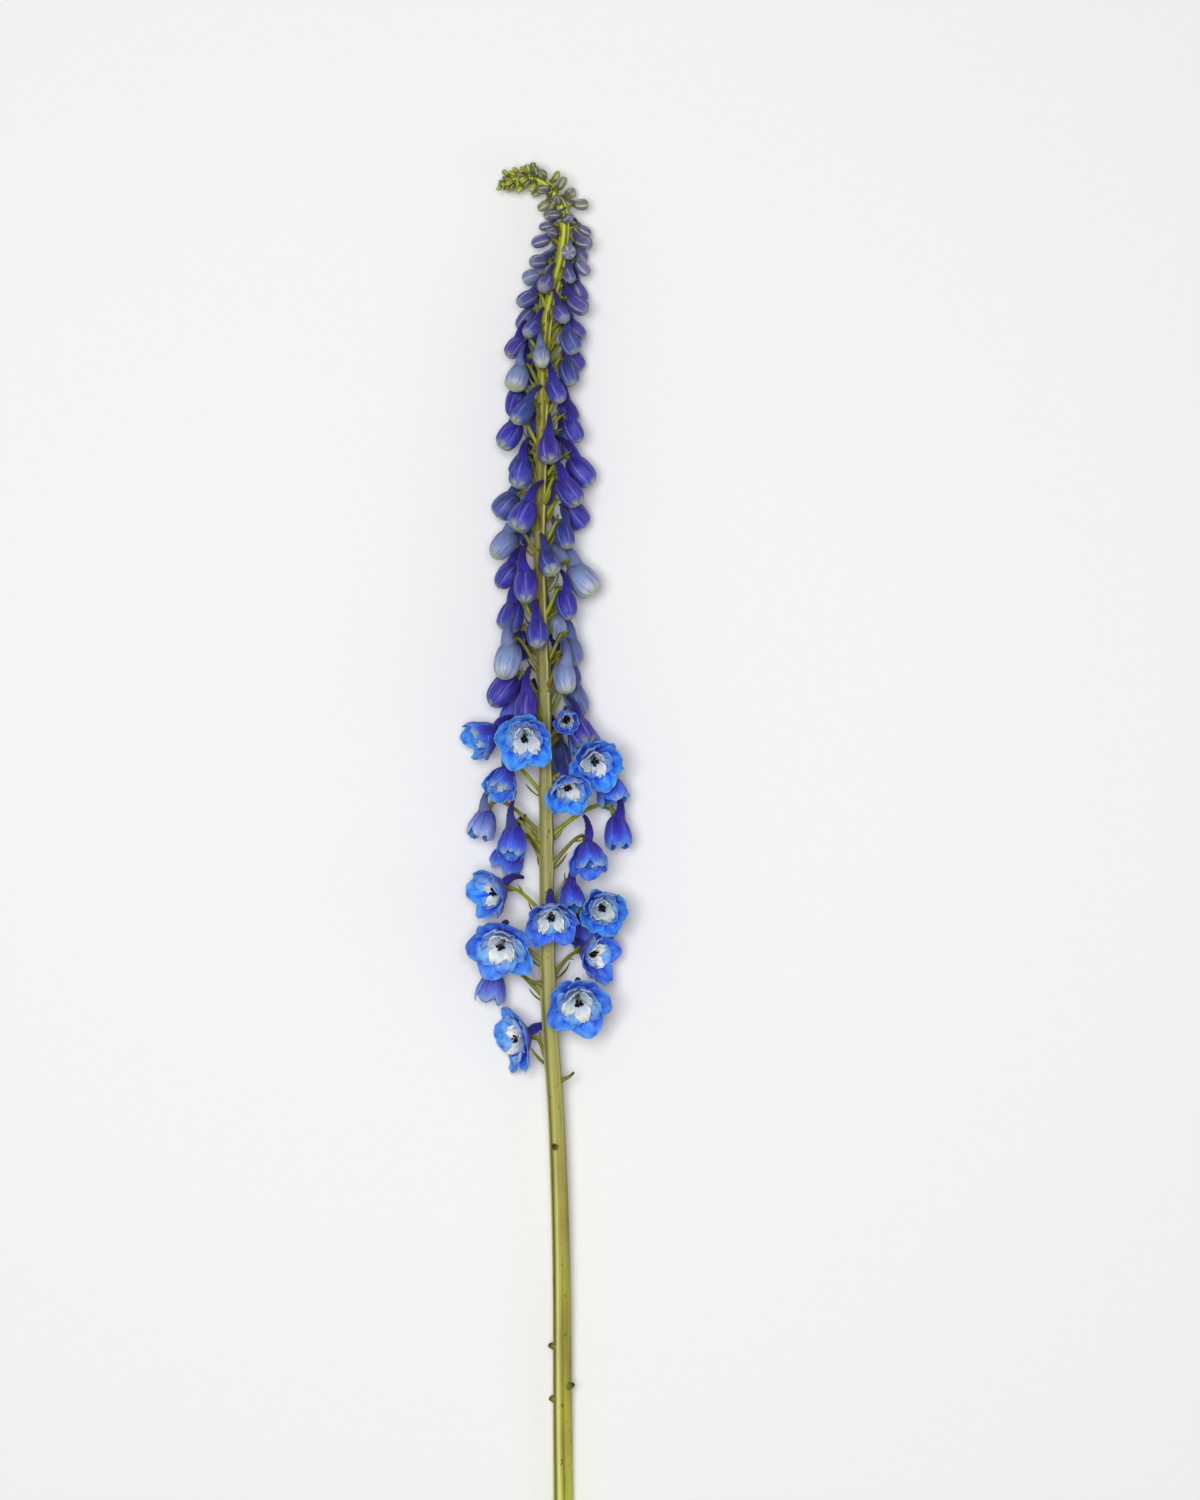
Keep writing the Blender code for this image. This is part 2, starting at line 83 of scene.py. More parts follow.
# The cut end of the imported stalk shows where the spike's own measurements, in millimetres, start from.
CUT_END = (9.0, 0.0, 3.2)
cut_ring = np.array([vert.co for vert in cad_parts["flower_stalk"].data.vertices]) * 1000
cut_ring = cut_ring[cut_ring[:, 1] < cut_ring[:, 1].min() + 1.0]
ORIGIN = Vector((cut_ring.min(axis=0) + cut_ring.max(axis=0)) / 2) - Vector(CUT_END)

over_spike = [(spot + start) / 1000 for spot, start in zip(CAMERA_OVER_SPIKE, ORIGIN)]
bpy.ops.object.camera_add(location=(*over_spike, CAMERA_OVER_TABLE))
camera = bpy.context.object
camera.rotation_euler = (0, 0, 0)
camera.data.lens = LENS_MM
camera.data.sensor_width = 36
camera.data.clip_end = 20
bpy.context.scene.camera = camera

# How the spike grows
# One stalk bends from its cut end to its curling tip. Open florets and big shut ones hang from its lower
# half, and smaller buds climb it in a spiral, each pushed clear of its neighbours as on a spike laid down.

STALK_LINE = (
    (9.0, 0, 3.2),
    (8.5, 72, 8.5),
    (8.0, 145, 14.0),
    (5.7, 216, 19.5),
    (1.8, 278, 23.5),
    (0.8, 340, 25.5),
    (0.0, 420, 25.5),
    (-2.5, 498, 23.0),
    (-1.5, 560, 19.5),
    (0.5, 618, 16.5),
    (8.5, 655, 15.0),
    (9.0, 676, 14.5),
    (0.0, 690, 14.0),
    (-12.0, 693, 13.0),
    (-22.5, 690, 12.0),
)
LINE_STEPS = 24
BELOW_CURL = 10 * LINE_STEPS
STALK_RADIUS_AT = (0, 180, 300, 380, 490, 610, 670, 719)
STALK_RADII = (5.0, 4.3, 3.9, 3.4, 2.9, 2.6, 1.9, 0.9)
# Each floret: its middle, the way it faces, how far open it is, and its sepals' length.
FLORETS = (
    ((-16, 260, 18), (-0.90, -0.10, 0.40), 0.95, 20.0),
    ((17, 279, 40), (0.10, -0.35, 0.93), 0.75, 20.0),
    ((-27, 286, 16), (-0.20, -0.95, 0.10), 0.20, 17.5),
    ((26, 303, 24), (0.75, -0.10, 0.55), 0.60, 19.0),
    ((-20, 307, 42), (-0.20, -0.42, 0.88), 0.82, 20.5),
    ((1, 321, 50), (0.05, -0.55, 0.83), 0.62, 19.0),
    ((-27, 334, 28), (-0.75, -0.20, 0.62), 0.60, 19.0),
    ((29, 326, 36), (0.20, -0.20, 0.95), 0.50, 19.0),
    ((22, 352, 38), (0.15, -0.88, 0.45), 0.34, 18.5),
    ((-16, 360, 36), (-0.10, -0.95, 0.30), 0.20, 18.0),
    ((-31, 368, 22), (-0.30, -0.92, 0.20), 0.20, 17.0),
    ((13, 332, 31), (0.15, -0.92, 0.35), 0.20, 16.0),
    ((36, 366, 20), (0.15, -0.97, 0.15), 0.16, 18.0),
    ((33, 384, 22), (0.45, -0.85, 0.25), 0.28, 18.0),
    ((12, 386, 50), (0.25, -0.50, 0.83), 0.48, 18.0),
    ((-21, 390, 36), (-0.30, -0.75, 0.60), 0.30, 18.0),
    ((25, 399, 38), (0.20, -0.28, 0.94), 0.65, 19.0),
    ((-10, 411, 50), (-0.05, -0.30, 0.95), 0.66, 19.0),
    ((-31, 412, 22), (-0.85, -0.35, 0.40), 0.40, 18.5),
    ((11, 420, 42), (0.10, -0.30, 0.95), 0.32, 13.0),
    ((19, 314, 5), (0.45, -0.88, -0.15), 0.24, 19.0),
    ((-18, 352, 5), (-0.45, -0.88, -0.15), 0.24, 19.0),
    ((18, 412, 6), (0.40, -0.90, -0.10), 0.20, 18.5),
    ((-14, 425, 6), (-0.40, -0.90, -0.10), 0.20, 18.5),
)
SHUT_BELOW = 0.27
# A floret's place is its receptacle: so many sepal lengths behind its middle, and so far above its root.
MIDDLE_BEFORE_PLACE, FLORET_STALK_RISE = 0.45, 13.0
GOLDEN_ANGLE = 137.508
BUDS_BEGIN, BUDS_END, BUDS_TURN = 397.0, 716.0, 150.0
# What the buds are like by their place along the stalk: the step to the next, length, lift and age.
BUD_STEP_AT = (391, 430, 520, 600, 660, 716)
BUD_STEPS = (7.0, 4.6, 4.4, 3.2, 2.2, 1.4)
BUD_LENGTH_AT = (391, 500, 590, 640, 685, 716)
BUD_LENGTHS = (20.5, 19.0, 15.5, 12.0, 7.5, 3.6)
BUD_LIFT_AT = (391, 600, 650, 685, 716)
BUD_LIFTS = (-68, -58, -25, 12, 40)
BUD_AGE_AT = (560, 640, 690, 716)
BUD_AGES = (0.0, 0.35, 0.75, 1.0)
LATER_EVERY = 4
YOUNGEST, YOUNGEST_FROM, YOUNGEST_STEP = 16, 700, 1.25
YOUNGEST_LENGTH, YOUNGEST_SHRINK = 5.8, 0.17
SPUR_LENGTH = 0.75
THROAT = 0.085
STALKLET_RADIUS, STALKLET_SHARE = 1.0, 0.085
CLEARANCE = 0.45
BUD_FLOOR = 1.4
JOSTLES = 260
PUSHED, DRAWN_HOME = 0.30, 0.01
PLACED_FLORET_GIVES = 0.35
TOO_TIGHT, TOO_TIGHT_LATER = 0.3, 1.6


def smooth_line(points, steps):
    """Points of a smooth curve through all of the given ones."""
    given = [Vector(point) for point in points]
    ends = [2 * given[0] - given[1], *given, 2 * given[-1] - given[-2]]
    line = []
    for before, start, end, after in zip(ends, ends[1:], ends[2:], ends[3:]):
        for step in range(steps):
            share = step / steps
            bend = 2 * before - 5 * start + 4 * end - after
            swing = 3 * start - before - 3 * end + after
            line.append(0.5 * (2 * start + (end - before) * share + bend * share**2 + swing * share**3))
    return np.array([*line, given[-1]])


LINE = smooth_line(STALK_LINE, LINE_STEPS)
ALONG = np.concatenate([[0.0], np.cumsum(np.linalg.norm(np.diff(LINE, axis=0), axis=1))])


def stalk_at(along):
    return Vector([float(np.interp(along, ALONG, LINE[:, axis])) for axis in range(3)])


def stalk_way(along):
    return (stalk_at(along + 2) - stalk_at(along - 2)).normalized()


def stalk_radius(along):
    return float(np.interp(along, STALK_RADIUS_AT, STALK_RADII))


def square_to(lean, way):
    """The part of a lean that stands at right angles to the way, at length one."""
    return (lean - lean.dot(way) * way).normalized()


def turned(first, second, angle):
    """The first way turned towards the second by an angle in radians."""
    return first * math.cos(angle) + second * math.sin(angle)


def outwards(along, turn):
    """The way out of the stalk there, and the way the stalk runs: turn is 0 for up off the table and 90 for
    the right-hand side."""
    way = stalk_way(along)
    up = square_to(Vector((0, 0, 1)), way)
    return turned(up, way.cross(up), math.radians(turn)), way


def sepal_line(length, opening, steps=40):
    """A sepal's middle line from the side: shares along it, how far out, how far forward, and its slope."""
    shares = np.linspace(0, 1, steps + 1)
    back = 1 - 2 * shares
    spread = 58 + 20 * min(1.0, max(0.0, opening) / 0.5)
    slope = np.radians(spread * (0.35 * back + 0.65 * back**3) + 122 * opening * shares**0.9)
    middle = (slope[1:] + slope[:-1]) / 2
    out = THROAT * length + np.concatenate([[0], np.cumsum(np.sin(middle))]) * length / steps
    forward = np.concatenate([[0], np.cumsum(np.cos(middle))]) * length / steps
    return shares, out, forward, slope


class Floret:
    """A floret or bud: its receptacle's place, the way it faces, its size and where its stalk is rooted."""

    def __init__(self, place, facing, dorsal, length, opening, root, heading):
        self.place = Vector(place)
        self.facing = Vector(facing).normalized()
        self.dorsal = square_to(dorsal, self.facing)
        self.side = self.dorsal.cross(self.facing)
        self.length = length
        self.opening = opening
        self.root = root
        self.heading = heading
        self.is_bud = opening < SHUT_BELOW

    def spur_points(self, count=5):
        """The spur's middle line, from inside the upper sepal backwards in a shallow arch."""
        front = 0.11 - 0.10 * min(1.0, self.opening / 0.3)
        points = [self.place + (self.facing * front + self.dorsal * 0.14) * self.length]
        for share in np.linspace(0, 1, count)[1:]:
            way = turned(-self.facing, self.dorsal, math.radians(32 - 64 * share))
            points.append(points[-1] + way * SPUR_LENGTH * self.length / (count - 1))
        return points

    def spheres(self):
        """Offsets and radii of balls that fill the floret, to keep it clear of its neighbours."""
        balls = [(self.facing * 0.26 * self.length, 0.27 * self.length)]
        if self.is_bud:
            balls.append((self.facing * 0.56 * self.length, 0.25 * self.length))
        else:
            _, out, forward, _ = sepal_line(self.length, self.opening)
            for turn in range(90, 450, 72):
                spoke = turned(self.side, self.dorsal, math.radians(turn))
                for step, share in ((26, 0.22), (38, 0.13)):
                    ball = spoke * float(out[step]) + self.facing * float(forward[step])
                    balls.append((ball, share * self.length))
        spur = self.spur_points()
        for step, share in ((1, 0.11), (2, 0.10), (3, 0.08), (4, 0.06)):
            balls.append((spur[step] - self.place, share * self.length))
        return balls


def stalklet_line(floret, gap, steps):
    """The middle line and radii of a floret's own thin stalk, which ends short of the floret by the gap."""
    way = stalk_way(floret.root)
    out = square_to(floret.place - stalk_at(floret.root), way)
    root = stalk_at(floret.root) + out * stalk_radius(floret.root) * 0.4
    end = floret.place - floret.facing * gap
    span = (end - root).length
    leave = root + (out * 0.75 + way * 0.65) * span * 0.40
    arrive = end - floret.facing * span * 0.42 - floret.dorsal * span * 0.05
    thick = min(STALKLET_RADIUS, STALKLET_SHARE * floret.length)
    points = []
    for step in range(steps + 1):
        share = step / steps
        rest = 1 - share
        point = root * rest**3 + leave * 3 * rest**2 * share
        points.append(point + arrive * 3 * rest * share**2 + end * share**3)
    return points, [thick * (1.25 - 0.40 * step / steps) for step in range(steps + 1)]


def jostle(florets, settled, tight_limit):
    """Moves the florets until none presses into another, into the settled ones, the stalk or the table, and
    gives back those that have room and those that don't."""
    everyone = florets + settled
    owner, offset, radius = [], [], []
    for index, floret in enumerate(everyone):
        for ball, size in floret.spheres():
            owner.append(index)
            offset.append(ball)
            radius.append(size)
    owner, offset, radius = np.array(owner), np.array(offset), np.array(radius)
    home = np.array([floret.place for floret in everyone])
    free = np.arange(len(everyone)) < len(florets)
    ease = np.array([PLACED_FLORET_GIVES if floret.heading is None else 1.0 for floret in everyone])
    ease[~free] = 1e-6
    floor = np.array([0.0 if floret.heading is None else BUD_FLOOR for floret in everyone])
    thick = np.interp(ALONG, STALK_RADIUS_AT, STALK_RADII)
    place = home.copy()
    apart = owner[:, None] != owner[None, :]
    for _ in range(JOSTLES):
        at = place[owner] + offset
        gap = at[:, None] - at[None, :]
        far = np.linalg.norm(gap, axis=2) + 1e-9
        press = np.clip(radius[:, None] + radius[None, :] + CLEARANCE - far, 0, None) * apart
        share = ease[owner][:, None] / (ease[owner][:, None] + ease[owner][None, :])
        push = (gap / far[:, :, None] * (press * share)[:, :, None]).sum(axis=1)
        spread = at[:, None] - LINE[None, :]
        clear = np.linalg.norm(spread, axis=2) - thick[None, :]
        nearest = clear.argmin(axis=1)
        rows = np.arange(len(at))
        into = np.clip(radius + CLEARANCE - clear[rows, nearest], 0, None)
        from_line = spread[rows, nearest]
        push += from_line / (np.linalg.norm(from_line, axis=1)[:, None] + 1e-9) * into[:, None]
        push[:, 2] += np.clip(radius + floor[owner] - at[:, 2], 0, None)
        moved = np.zeros_like(place)
        np.add.at(moved, owner, push)
        place += free[:, None] * (PUSHED * moved + DRAWN_HOME * (home - place))
    for floret, spot in zip(everyone, place):
        floret.place = Vector(spot)
    pressed = np.zeros(len(everyone))
    np.maximum.at(pressed, owner, press.max(axis=1))
    flowers = np.array([not everyone[index].is_bud for index in owner])
    at = (place[owner] + offset)[flowers]
    roomy, cramped = [], []
    for floret, tight in zip(florets, pressed):
        line = np.array(stalklet_line(floret, 0.0, 12)[0])
        reach = np.linalg.norm(line[:, None] - at[None, :], axis=2) - radius[flowers][None, :]
        fits = floret.heading is None or (tight < tight_limit and reach.min() > STALKLET_RADIUS)
        (roomy if fits else cramped).append(floret)
    return roomy, cramped


first, later = [], []
for middle, facing, opening, length in FLORETS:
    facing = Vector(facing).normalized()
    place = Vector(middle) - facing * MIDDLE_BEFORE_PLACE * length
    root = float(np.interp(place.y - FLORET_STALK_RISE, LINE[:BELOW_CURL, 1], ALONG[:BELOW_CURL]))
    dorsal = Vector((0, 1, 0)) + 0.35 * (place - stalk_at(root)).normalized()
    first.append(Floret(place, facing, dorsal, length, opening, root, None))
chance = random.Random(11)
along, turn, count = BUDS_BEGIN, BUDS_TURN, 0
while along < BUDS_END:
    count += 1
    length = float(np.interp(along, BUD_LENGTH_AT, BUD_LENGTHS)) * chance.uniform(0.88, 1.12)
    lift = float(np.interp(along, BUD_LIFT_AT, BUD_LIFTS)) + chance.uniform(-16, 16)
    heading = turn + chance.uniform(-14, 14)
    nod = max(0.0, math.sin(math.radians(-lift)))
    out, way = outwards(along, heading)
    swerve = way.cross(out) * chance.uniform(-0.3, 0.3)
    lift = math.radians(lift)
    facing, dorsal = turned(out, way, lift) + swerve, turned(way, -out, lift)
    reach = stalk_radius(along) + length * (0.34 + 0.22 * nod) * chance.uniform(0.85, 1.25)
    place = stalk_at(along) + out * reach + way * length * 0.75 * nod
    bud = Floret(place, facing, dorsal, length, chance.uniform(-0.05, 0.10), along, heading)
    (first if count % LATER_EVERY else later).append(bud)
    along += float(np.interp(along, BUD_STEP_AT, BUD_STEPS))
    turn += GOLDEN_ANGLE
settled, cramped = jostle(first, [], TOO_TIGHT)
found_room, _ = jostle(later + cramped, settled, TOO_TIGHT_LATER)
# The youngest buds crowd round the growing tip itself.
youngest = []
for count in range(YOUNGEST):
    along = YOUNGEST_FROM + YOUNGEST_STEP * count
    heading = count * GOLDEN_ANGLE
    out, way = outwards(along, heading + 40)
    length = YOUNGEST_LENGTH - YOUNGEST_SHRINK * count
    facing = out + way * (0.25 + 0.12 * count)
    reach = stalk_radius(along) + length * (0.30 - 0.012 * count)
    place = stalk_at(along) + out * reach + way * 0.1 * length
    opening = chance.uniform(-0.05, 0.1)
    youngest.append(Floret(place, facing, way - out * 0.3, length, opening, along - 1.0, heading))
florets = settled + found_room + youngest
chance = random.Random(5)
for floret in florets:
    floret.tint = chance.random()
    floret.age = float(np.interp(floret.root, BUD_AGE_AT, BUD_AGES))

# Stalk
# The spike's stout ribbed stalk, cut square at its foot. It is yellow-green below, greyer and flushed with
# brown between the florets, and bright green at its soft curling tip. It swells where each floret is rooted.

STALK_SIDES, STALK_RINGS = 32, 520
# The dished cut end and the rounded growing tip are rings of their own: places along the stalk, and sizes.
CUT_RINGS, CUT_SIZES = (1.1, 0.9, 0.5, 0.0, 0.25), (0.0, 0.45, 0.78, 0.94, 1.0)
TIP_RINGS, TIP_SIZES = (0.5, 0.7, 0.75), (0.85, 0.5, 0.0)
RIBS, RIB_DEPTH = 6, 0.036
SWELLING, MOST_SWELLING, SWELLING_REACH = 0.75, 0.9, 2.3
# What would lie lower than the first height is pressed flat, down to the second. All that lies higher is
# raised by as much as the second, which fades out over the third.
PRESSED_FROM, LEAST_GAP, EASED_OVER = 1.2, 0.2, 3
SMOOTH_UP_TO = math.radians(60)


def tone(*screen):
    """A colour from the screen's 0 to 255 to the shader's own scale."""
    return tuple(
        part / 255 / 12.92 if part < 11 else ((part / 255 + 0.055) / 1.055) ** 2.4 for part in screen
    )


class Skin:
    """A plant skin's material while it is painted: each call adds one layer and gives back its socket."""

    def __init__(self, name, roughness, sheen=0.0, specular=0.5):
        self.look = bpy.data.materials.new(name)
        self.look.use_nodes = True
        self.tree = self.look.node_tree
        self.shader = self.tree.nodes["Principled BSDF"]
        self.shader.inputs["Roughness"].default_value = roughness
        self.shader.inputs["Sheen Weight"].default_value = sheen
        self.shader.inputs["Specular IOR Level"].default_value = specular
        self.object = self.tree.nodes.new("ShaderNodeTexCoord").outputs["Object"]
        uv_map = self.tree.nodes.new("ShaderNodeUVMap")
        uv_map.uv_map = "UVMap"
        self.uv = uv_map.outputs[0]
        split = self.tree.nodes.new("ShaderNodeSeparateXYZ")
        self.put(split.inputs[0], self.uv)
        self.across, self.along = split.outputs[0], split.outputs[1]

    def put(self, socket, value):
        if isinstance(value, bpy.types.NodeSocket):
            self.tree.links.new(value, socket)
        else:
            socket.default_value = (*value, 1) if isinstance(value, tuple) else value

    def mark(self, name):
        """What a named mark on the mesh says at each point."""
        node = self.tree.nodes.new("ShaderNodeAttribute")
        node.attribute_name = name
        return node.outputs["Fac"]

    def reckon(self, kind, first, second=0.0):
        node = self.tree.nodes.new("ShaderNodeMath")
        node.operation = kind
        self.put(node.inputs[0], first)
        self.put(node.inputs[1], second)
        return node.outputs[0]

    def times(self, first, second):
        return self.reckon("MULTIPLY", first, second)

    def off_middle(self, across):
        """How far a point lies from the sheet's middle line, up to a half at its edges."""
        return self.reckon("ABSOLUTE", self.reckon("SUBTRACT", across, 0.5))

    def fade(self, value, low, high, start=0.0, end=1.0):
        """A smooth step from start to end as the value goes from low to high."""
        node = self.tree.nodes.new("ShaderNodeMapRange")
        node.interpolation_type = "SMOOTHSTEP"
        for socket, given in zip(node.inputs, (value, low, high, start, end)):
            self.put(socket, given)
        return node.outputs[0]

    def ramp(self, *stops):
        """A run of colours along the sheet, each stop given as its place and its red, green and blue."""
        node = self.tree.nodes.new("ShaderNodeValToRGB")
        while len(node.color_ramp.elements) < len(stops):
            node.color_ramp.elements.new(0.5)
        for element, (spot, *colour) in zip(node.color_ramp.elements, stops):
            element.position = spot
            element.color = (*tone(*colour), 1)
        self.put(node.inputs[0], self.along)
        return node.outputs[0]

    def mix(self, share, under, over):
        node = self.tree.nodes.new("ShaderNodeMix")
        node.data_type = "RGBA"
        self.put(node.inputs[0], share)
        self.put(node.inputs[6], under)
        self.put(node.inputs[7], over)
        return node.outputs[2]

    def wash(self, under, *layers):
        """Lays colours over what is under them, each up to its share as its value goes from low to high."""
        for value, low, high, share, colour in layers:
            under = self.mix(self.fade(value, low, high, 0.0, share), under, tone(*colour))
        return under

    def cloud(self, scale, stretch=(1, 1, 1), detail=3.0, place=None):
        """Soft random patches through the piece, drawn out by the stretch."""
        mapping = self.tree.nodes.new("ShaderNodeMapping")
        mapping.inputs["Scale"].default_value = stretch
        self.put(mapping.inputs[0], place or self.object)
        node = self.tree.nodes.new("ShaderNodeTexNoise")
        node.inputs["Scale"].default_value = scale
        node.inputs["Detail"].default_value = detail
        self.put(node.inputs["Vector"], mapping.outputs[0])
        return node.outputs["Fac"]

    def grain(self, across, along, detail=3.0):
        """The same patches laid out on the sheet, about so many across it and so many along it."""
        return self.cloud(1.0, (across, along, 1), detail, self.uv)

    def finish(self, colour, roughness=None, height=None, depth=0.0002):
        self.put(self.shader.inputs["Base Color"], colour)
        if roughness is not None:
            self.put(self.shader.inputs["Roughness"], roughness)
        if height is not None:
            bump = self.tree.nodes.new("ShaderNodeBump")
            bump.inputs["Distance"].default_value = depth
            self.put(bump.inputs["Height"], height)
            self.put(self.shader.inputs["Normal"], bump.outputs[0])
        return self.look


# Every flat sheet that is made, to be cleared away at the end.
sheets = []


def flat_sheet(columns, rows):
    """A flat sheet, to be copied and bent into each sepal, tube or bud, with how far across and how far along
    it each of its points is, from 0 to 1."""
    bpy.ops.object.select_all(action="DESELECT")
    bpy.ops.mesh.primitive_grid_add(x_subdivisions=columns, y_subdivisions=rows, size=2, location=(0, 0, 0))
    sheet = bpy.context.object
    sheets.append(sheet)
    flat = np.empty(len(sheet.data.vertices) * 3)
    sheet.data.vertices.foreach_get("co", flat)
    flat = flat.reshape(-1, 3)
    return sheet, (flat[:, 0] + 1) / 2, (flat[:, 1] + 1) / 2


def bent_copy(sheet, points, marks):
    """A copy of the sheet with its own mesh, each point laid where it belongs on the spike, in millimetres.
    What would reach the table is pressed flat over it."""
    copy = sheet.copy()
    copy.data = sheet.data.copy()
    bpy.context.scene.collection.objects.link(copy)
    spots = np.asarray(points) + np.array(ORIGIN)
    low = PRESSED_FROM - spots[:, 2]
    pressed = PRESSED_FROM * np.exp(-low / PRESSED_FROM) + LEAST_GAP
    spots[:, 2] = np.where(low > 0, pressed, spots[:, 2] + LEAST_GAP * np.exp(low / EASED_OVER))
    spots = spots / 1000
    copy.data.vertices.foreach_set("co", spots.ravel())
    for name, value in marks.items():
        mark = copy.data.attributes.new(name, "FLOAT", "POINT")
        mark.data.foreach_set("value", np.broadcast_to(np.asarray(value, dtype=float), len(spots)).copy())
    return copy


def tube_points(across, along, line, ways, radii):
    """A sheet's points when it is rolled round a line, with a radius and a way to run at each station."""
    line, ways = np.array(line), np.array(ways)
    sides, side = [], np.cross(ways[0], (0.31, 0.22, 0.93))
    for way in ways:
        side = side - way * np.dot(side, way)
        side /= np.linalg.norm(side)
        sides.append(side)
    sides = np.array(sides)
    rises = np.cross(ways, sides)
    stations = np.linspace(0, 1, len(line))
    at, side, rise = (
        np.stack([np.interp(along, stations, rows[:, axis]) for axis in range(3)], axis=1)
        for rows in (line, sides, rises)
    )
    around = across[:, None] * 2 * math.pi
    size = np.interp(along, stations, radii)[:, None]
    return at + (side * np.cos(around) + rise * np.sin(around)) * size


def ways_of(points):
    """The way a line of points runs at each of them."""
    steps = np.gradient(np.array(points), axis=0)
    return steps / np.linalg.norm(steps, axis=1)[:, None]


def joined(copies, name, looks, node, wall=0.0):
    """Joins the copies into one piece at the origin, which stands for the node, and closes its seams. Open
    sheets get a wall instead, whose second face and rim take the second look."""
    bpy.ops.object.select_all(action="DESELECT")
    for copy in copies:
        copy.select_set(True)
    bpy.context.view_layer.objects.active = copies[0]
    if len(copies) > 1:
        bpy.ops.object.join()
    piece = bpy.context.object
    piece.name = name
    piece.data.name = name
    piece.data.materials.clear()
    for look in looks:
        piece.data.materials.append(look)
    if wall:
        thickness = piece.modifiers.new("thickness", "SOLIDIFY")
        thickness.thickness = wall / 1000
        thickness.offset = 0.0
        thickness.material_offset = len(looks) - 1
        thickness.material_offset_rim = len(looks) - 1
        bpy.ops.object.modifier_apply(modifier="thickness")
    else:
        bpy.ops.object.mode_set(mode="EDIT")
        bpy.ops.mesh.select_all(action="SELECT")
        bpy.ops.mesh.remove_doubles(threshold=2e-6)
        bpy.ops.mesh.normals_make_consistent(inside=False)
        bpy.ops.object.mode_set(mode="OBJECT")
    bpy.ops.object.shade_smooth_by_angle(angle=SMOOTH_UP_TO)
    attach(piece, "root")
    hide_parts(node)


skin = Skin("stalk_skin", 0.5, specular=0.35)
ground = skin.ramp(
    (0.0, 212, 216, 84), (0.12, 202, 202, 92), (0.25, 192, 188, 98), (0.42, 186, 182, 124),
    (0.60, 164, 162, 114), (0.80, 166, 168, 66), (0.90, 196, 202, 52), (1.0, 222, 226, 74),
)
ribs = skin.grain(60, 5, 4.0)
broad = skin.grain(9, 14)
fine = skin.grain(170, 260, 2.0)
flush = skin.cloud(22.0, (1, 0.35, 1))
specks = skin.cloud(420.0, (1, 0.55, 1), 2.0)
crest = skin.mark("crest")
streaked = skin.wash(
    ground,
    (ribs, 0.42, 0.70, 0.42, (192, 192, 136)),
    (ribs, 0.50, 0.30, 0.32, (112, 112, 58)),
    (broad, 0.50, 0.72, 0.40, (122, 124, 62)),
    (flush, 0.50, 0.70, 0.60, (140, 118, 84)),
    (fine, 0.60, 0.78, 0.35, (100, 98, 52)),
    (specks, 0.66, 0.72, 0.65, (92, 74, 36)),
    # The crest mark follows the stalk's ribs: their tops get a painted highlight and the grooves between them
    # painted shade.
    (crest, 0.1, 0.9, 0.75, (238, 238, 172)),
    (crest, -0.1, -0.9, 0.80, (98, 98, 34)),
    (skin.along, 0.0055, 0.0035, 1.0, (206, 206, 158)),
)
stalk_look = skin.finish(streaked, skin.fade(fine, 0.3, 0.7, 0.38, 0.55), ribs, 0.0003)

stalk_sheet, across, run = flat_sheet(STALK_SIDES, STALK_RINGS)
stations = np.linspace(0, ALONG[-1], STALK_RINGS + 1 - len(CUT_RINGS) - len(TIP_RINGS))
ring_along = np.concatenate([CUT_RINGS, stations[1:], stations[-1] + np.array(TIP_RINGS)])
ring_sizes = np.concatenate([CUT_SIZES, np.ones(len(stations) - 1), TIP_SIZES])
ring_line, ring_ways, ring_radii = [], [], []
for spot, size in zip(ring_along, ring_sizes):
    way = stalk_way(min(spot, ALONG[-1]))
    ring_line.append(stalk_at(spot) + way * max(0.0, spot - ALONG[-1]))
    ring_ways.append(way)
    ring_radii.append(stalk_radius(spot) * size)
laid = tube_points(across, run, ring_line, ring_ways, ring_radii)
middle = tube_points(across, run, ring_line, ring_ways, np.zeros(len(ring_line)))
outward = laid - middle
spots = np.interp(run, np.linspace(0, 1, len(ring_along)), ring_along)
# The crest both raises the ribs and marks the skin, where it becomes the ribs' painted highlight and the
# grooves' painted shade.
crest = np.cos(across * 2 * math.pi * RIBS + 0.9 * np.sin(spots / 60) + 0.6)
crest *= 0.6 + 0.4 * np.sin(across * 2 * math.pi * 2 + spots / 150)
ribbed = 1 + RIB_DEPTH * crest * np.clip(1 - spots / 900, 0, 1)
swell = np.zeros(len(laid))
for floret in florets:
    foot, above = (np.array(point) for point in stalklet_line(floret, 0.0, 12)[0][:2])
    near = np.linalg.norm((laid - (foot + (above - foot) * 0.5)) * (1, 0.55, 1), axis=1)
    swell += SWELLING * min(1.0, floret.length / 15) * np.exp(-((near / SWELLING_REACH) ** 2))
size = np.linalg.norm(outward, axis=1)[:, None] + 1e-9
swollen = outward / size * np.minimum(swell, MOST_SWELLING)[:, None] * (size > 0.4)
laid = middle + outward * ribbed[:, None] + swollen
joined([bent_copy(stalk_sheet, laid, {"crest": crest})], "stalk", [stalk_look], "flower_stalk")

# Leaf scars
# The leaves were stripped off below the florets. Each left a hard brown scar with a torn rim, or a short
# dried stub that still stands out and up from the stalk.

# Each scar: its place along the stalk, its turn round it, and how far it stands out.
LEAF_SCARS = (
    (78, -80, 1.2), (85, 50, 2.2), (105, -75, 1.6), (207, -20, 1.0), (240, 85, 6.0), (289, -70, 9.0),
)
SCAR_SIZES = (2.3, 2.45, 2.3, 2.0, 1.75, 1.6, 1.45, 1.35, 1.15, 0.7, 0.0)
STUB_FROM, STUB_SIZE = 4, 0.52
TORN = 0.16

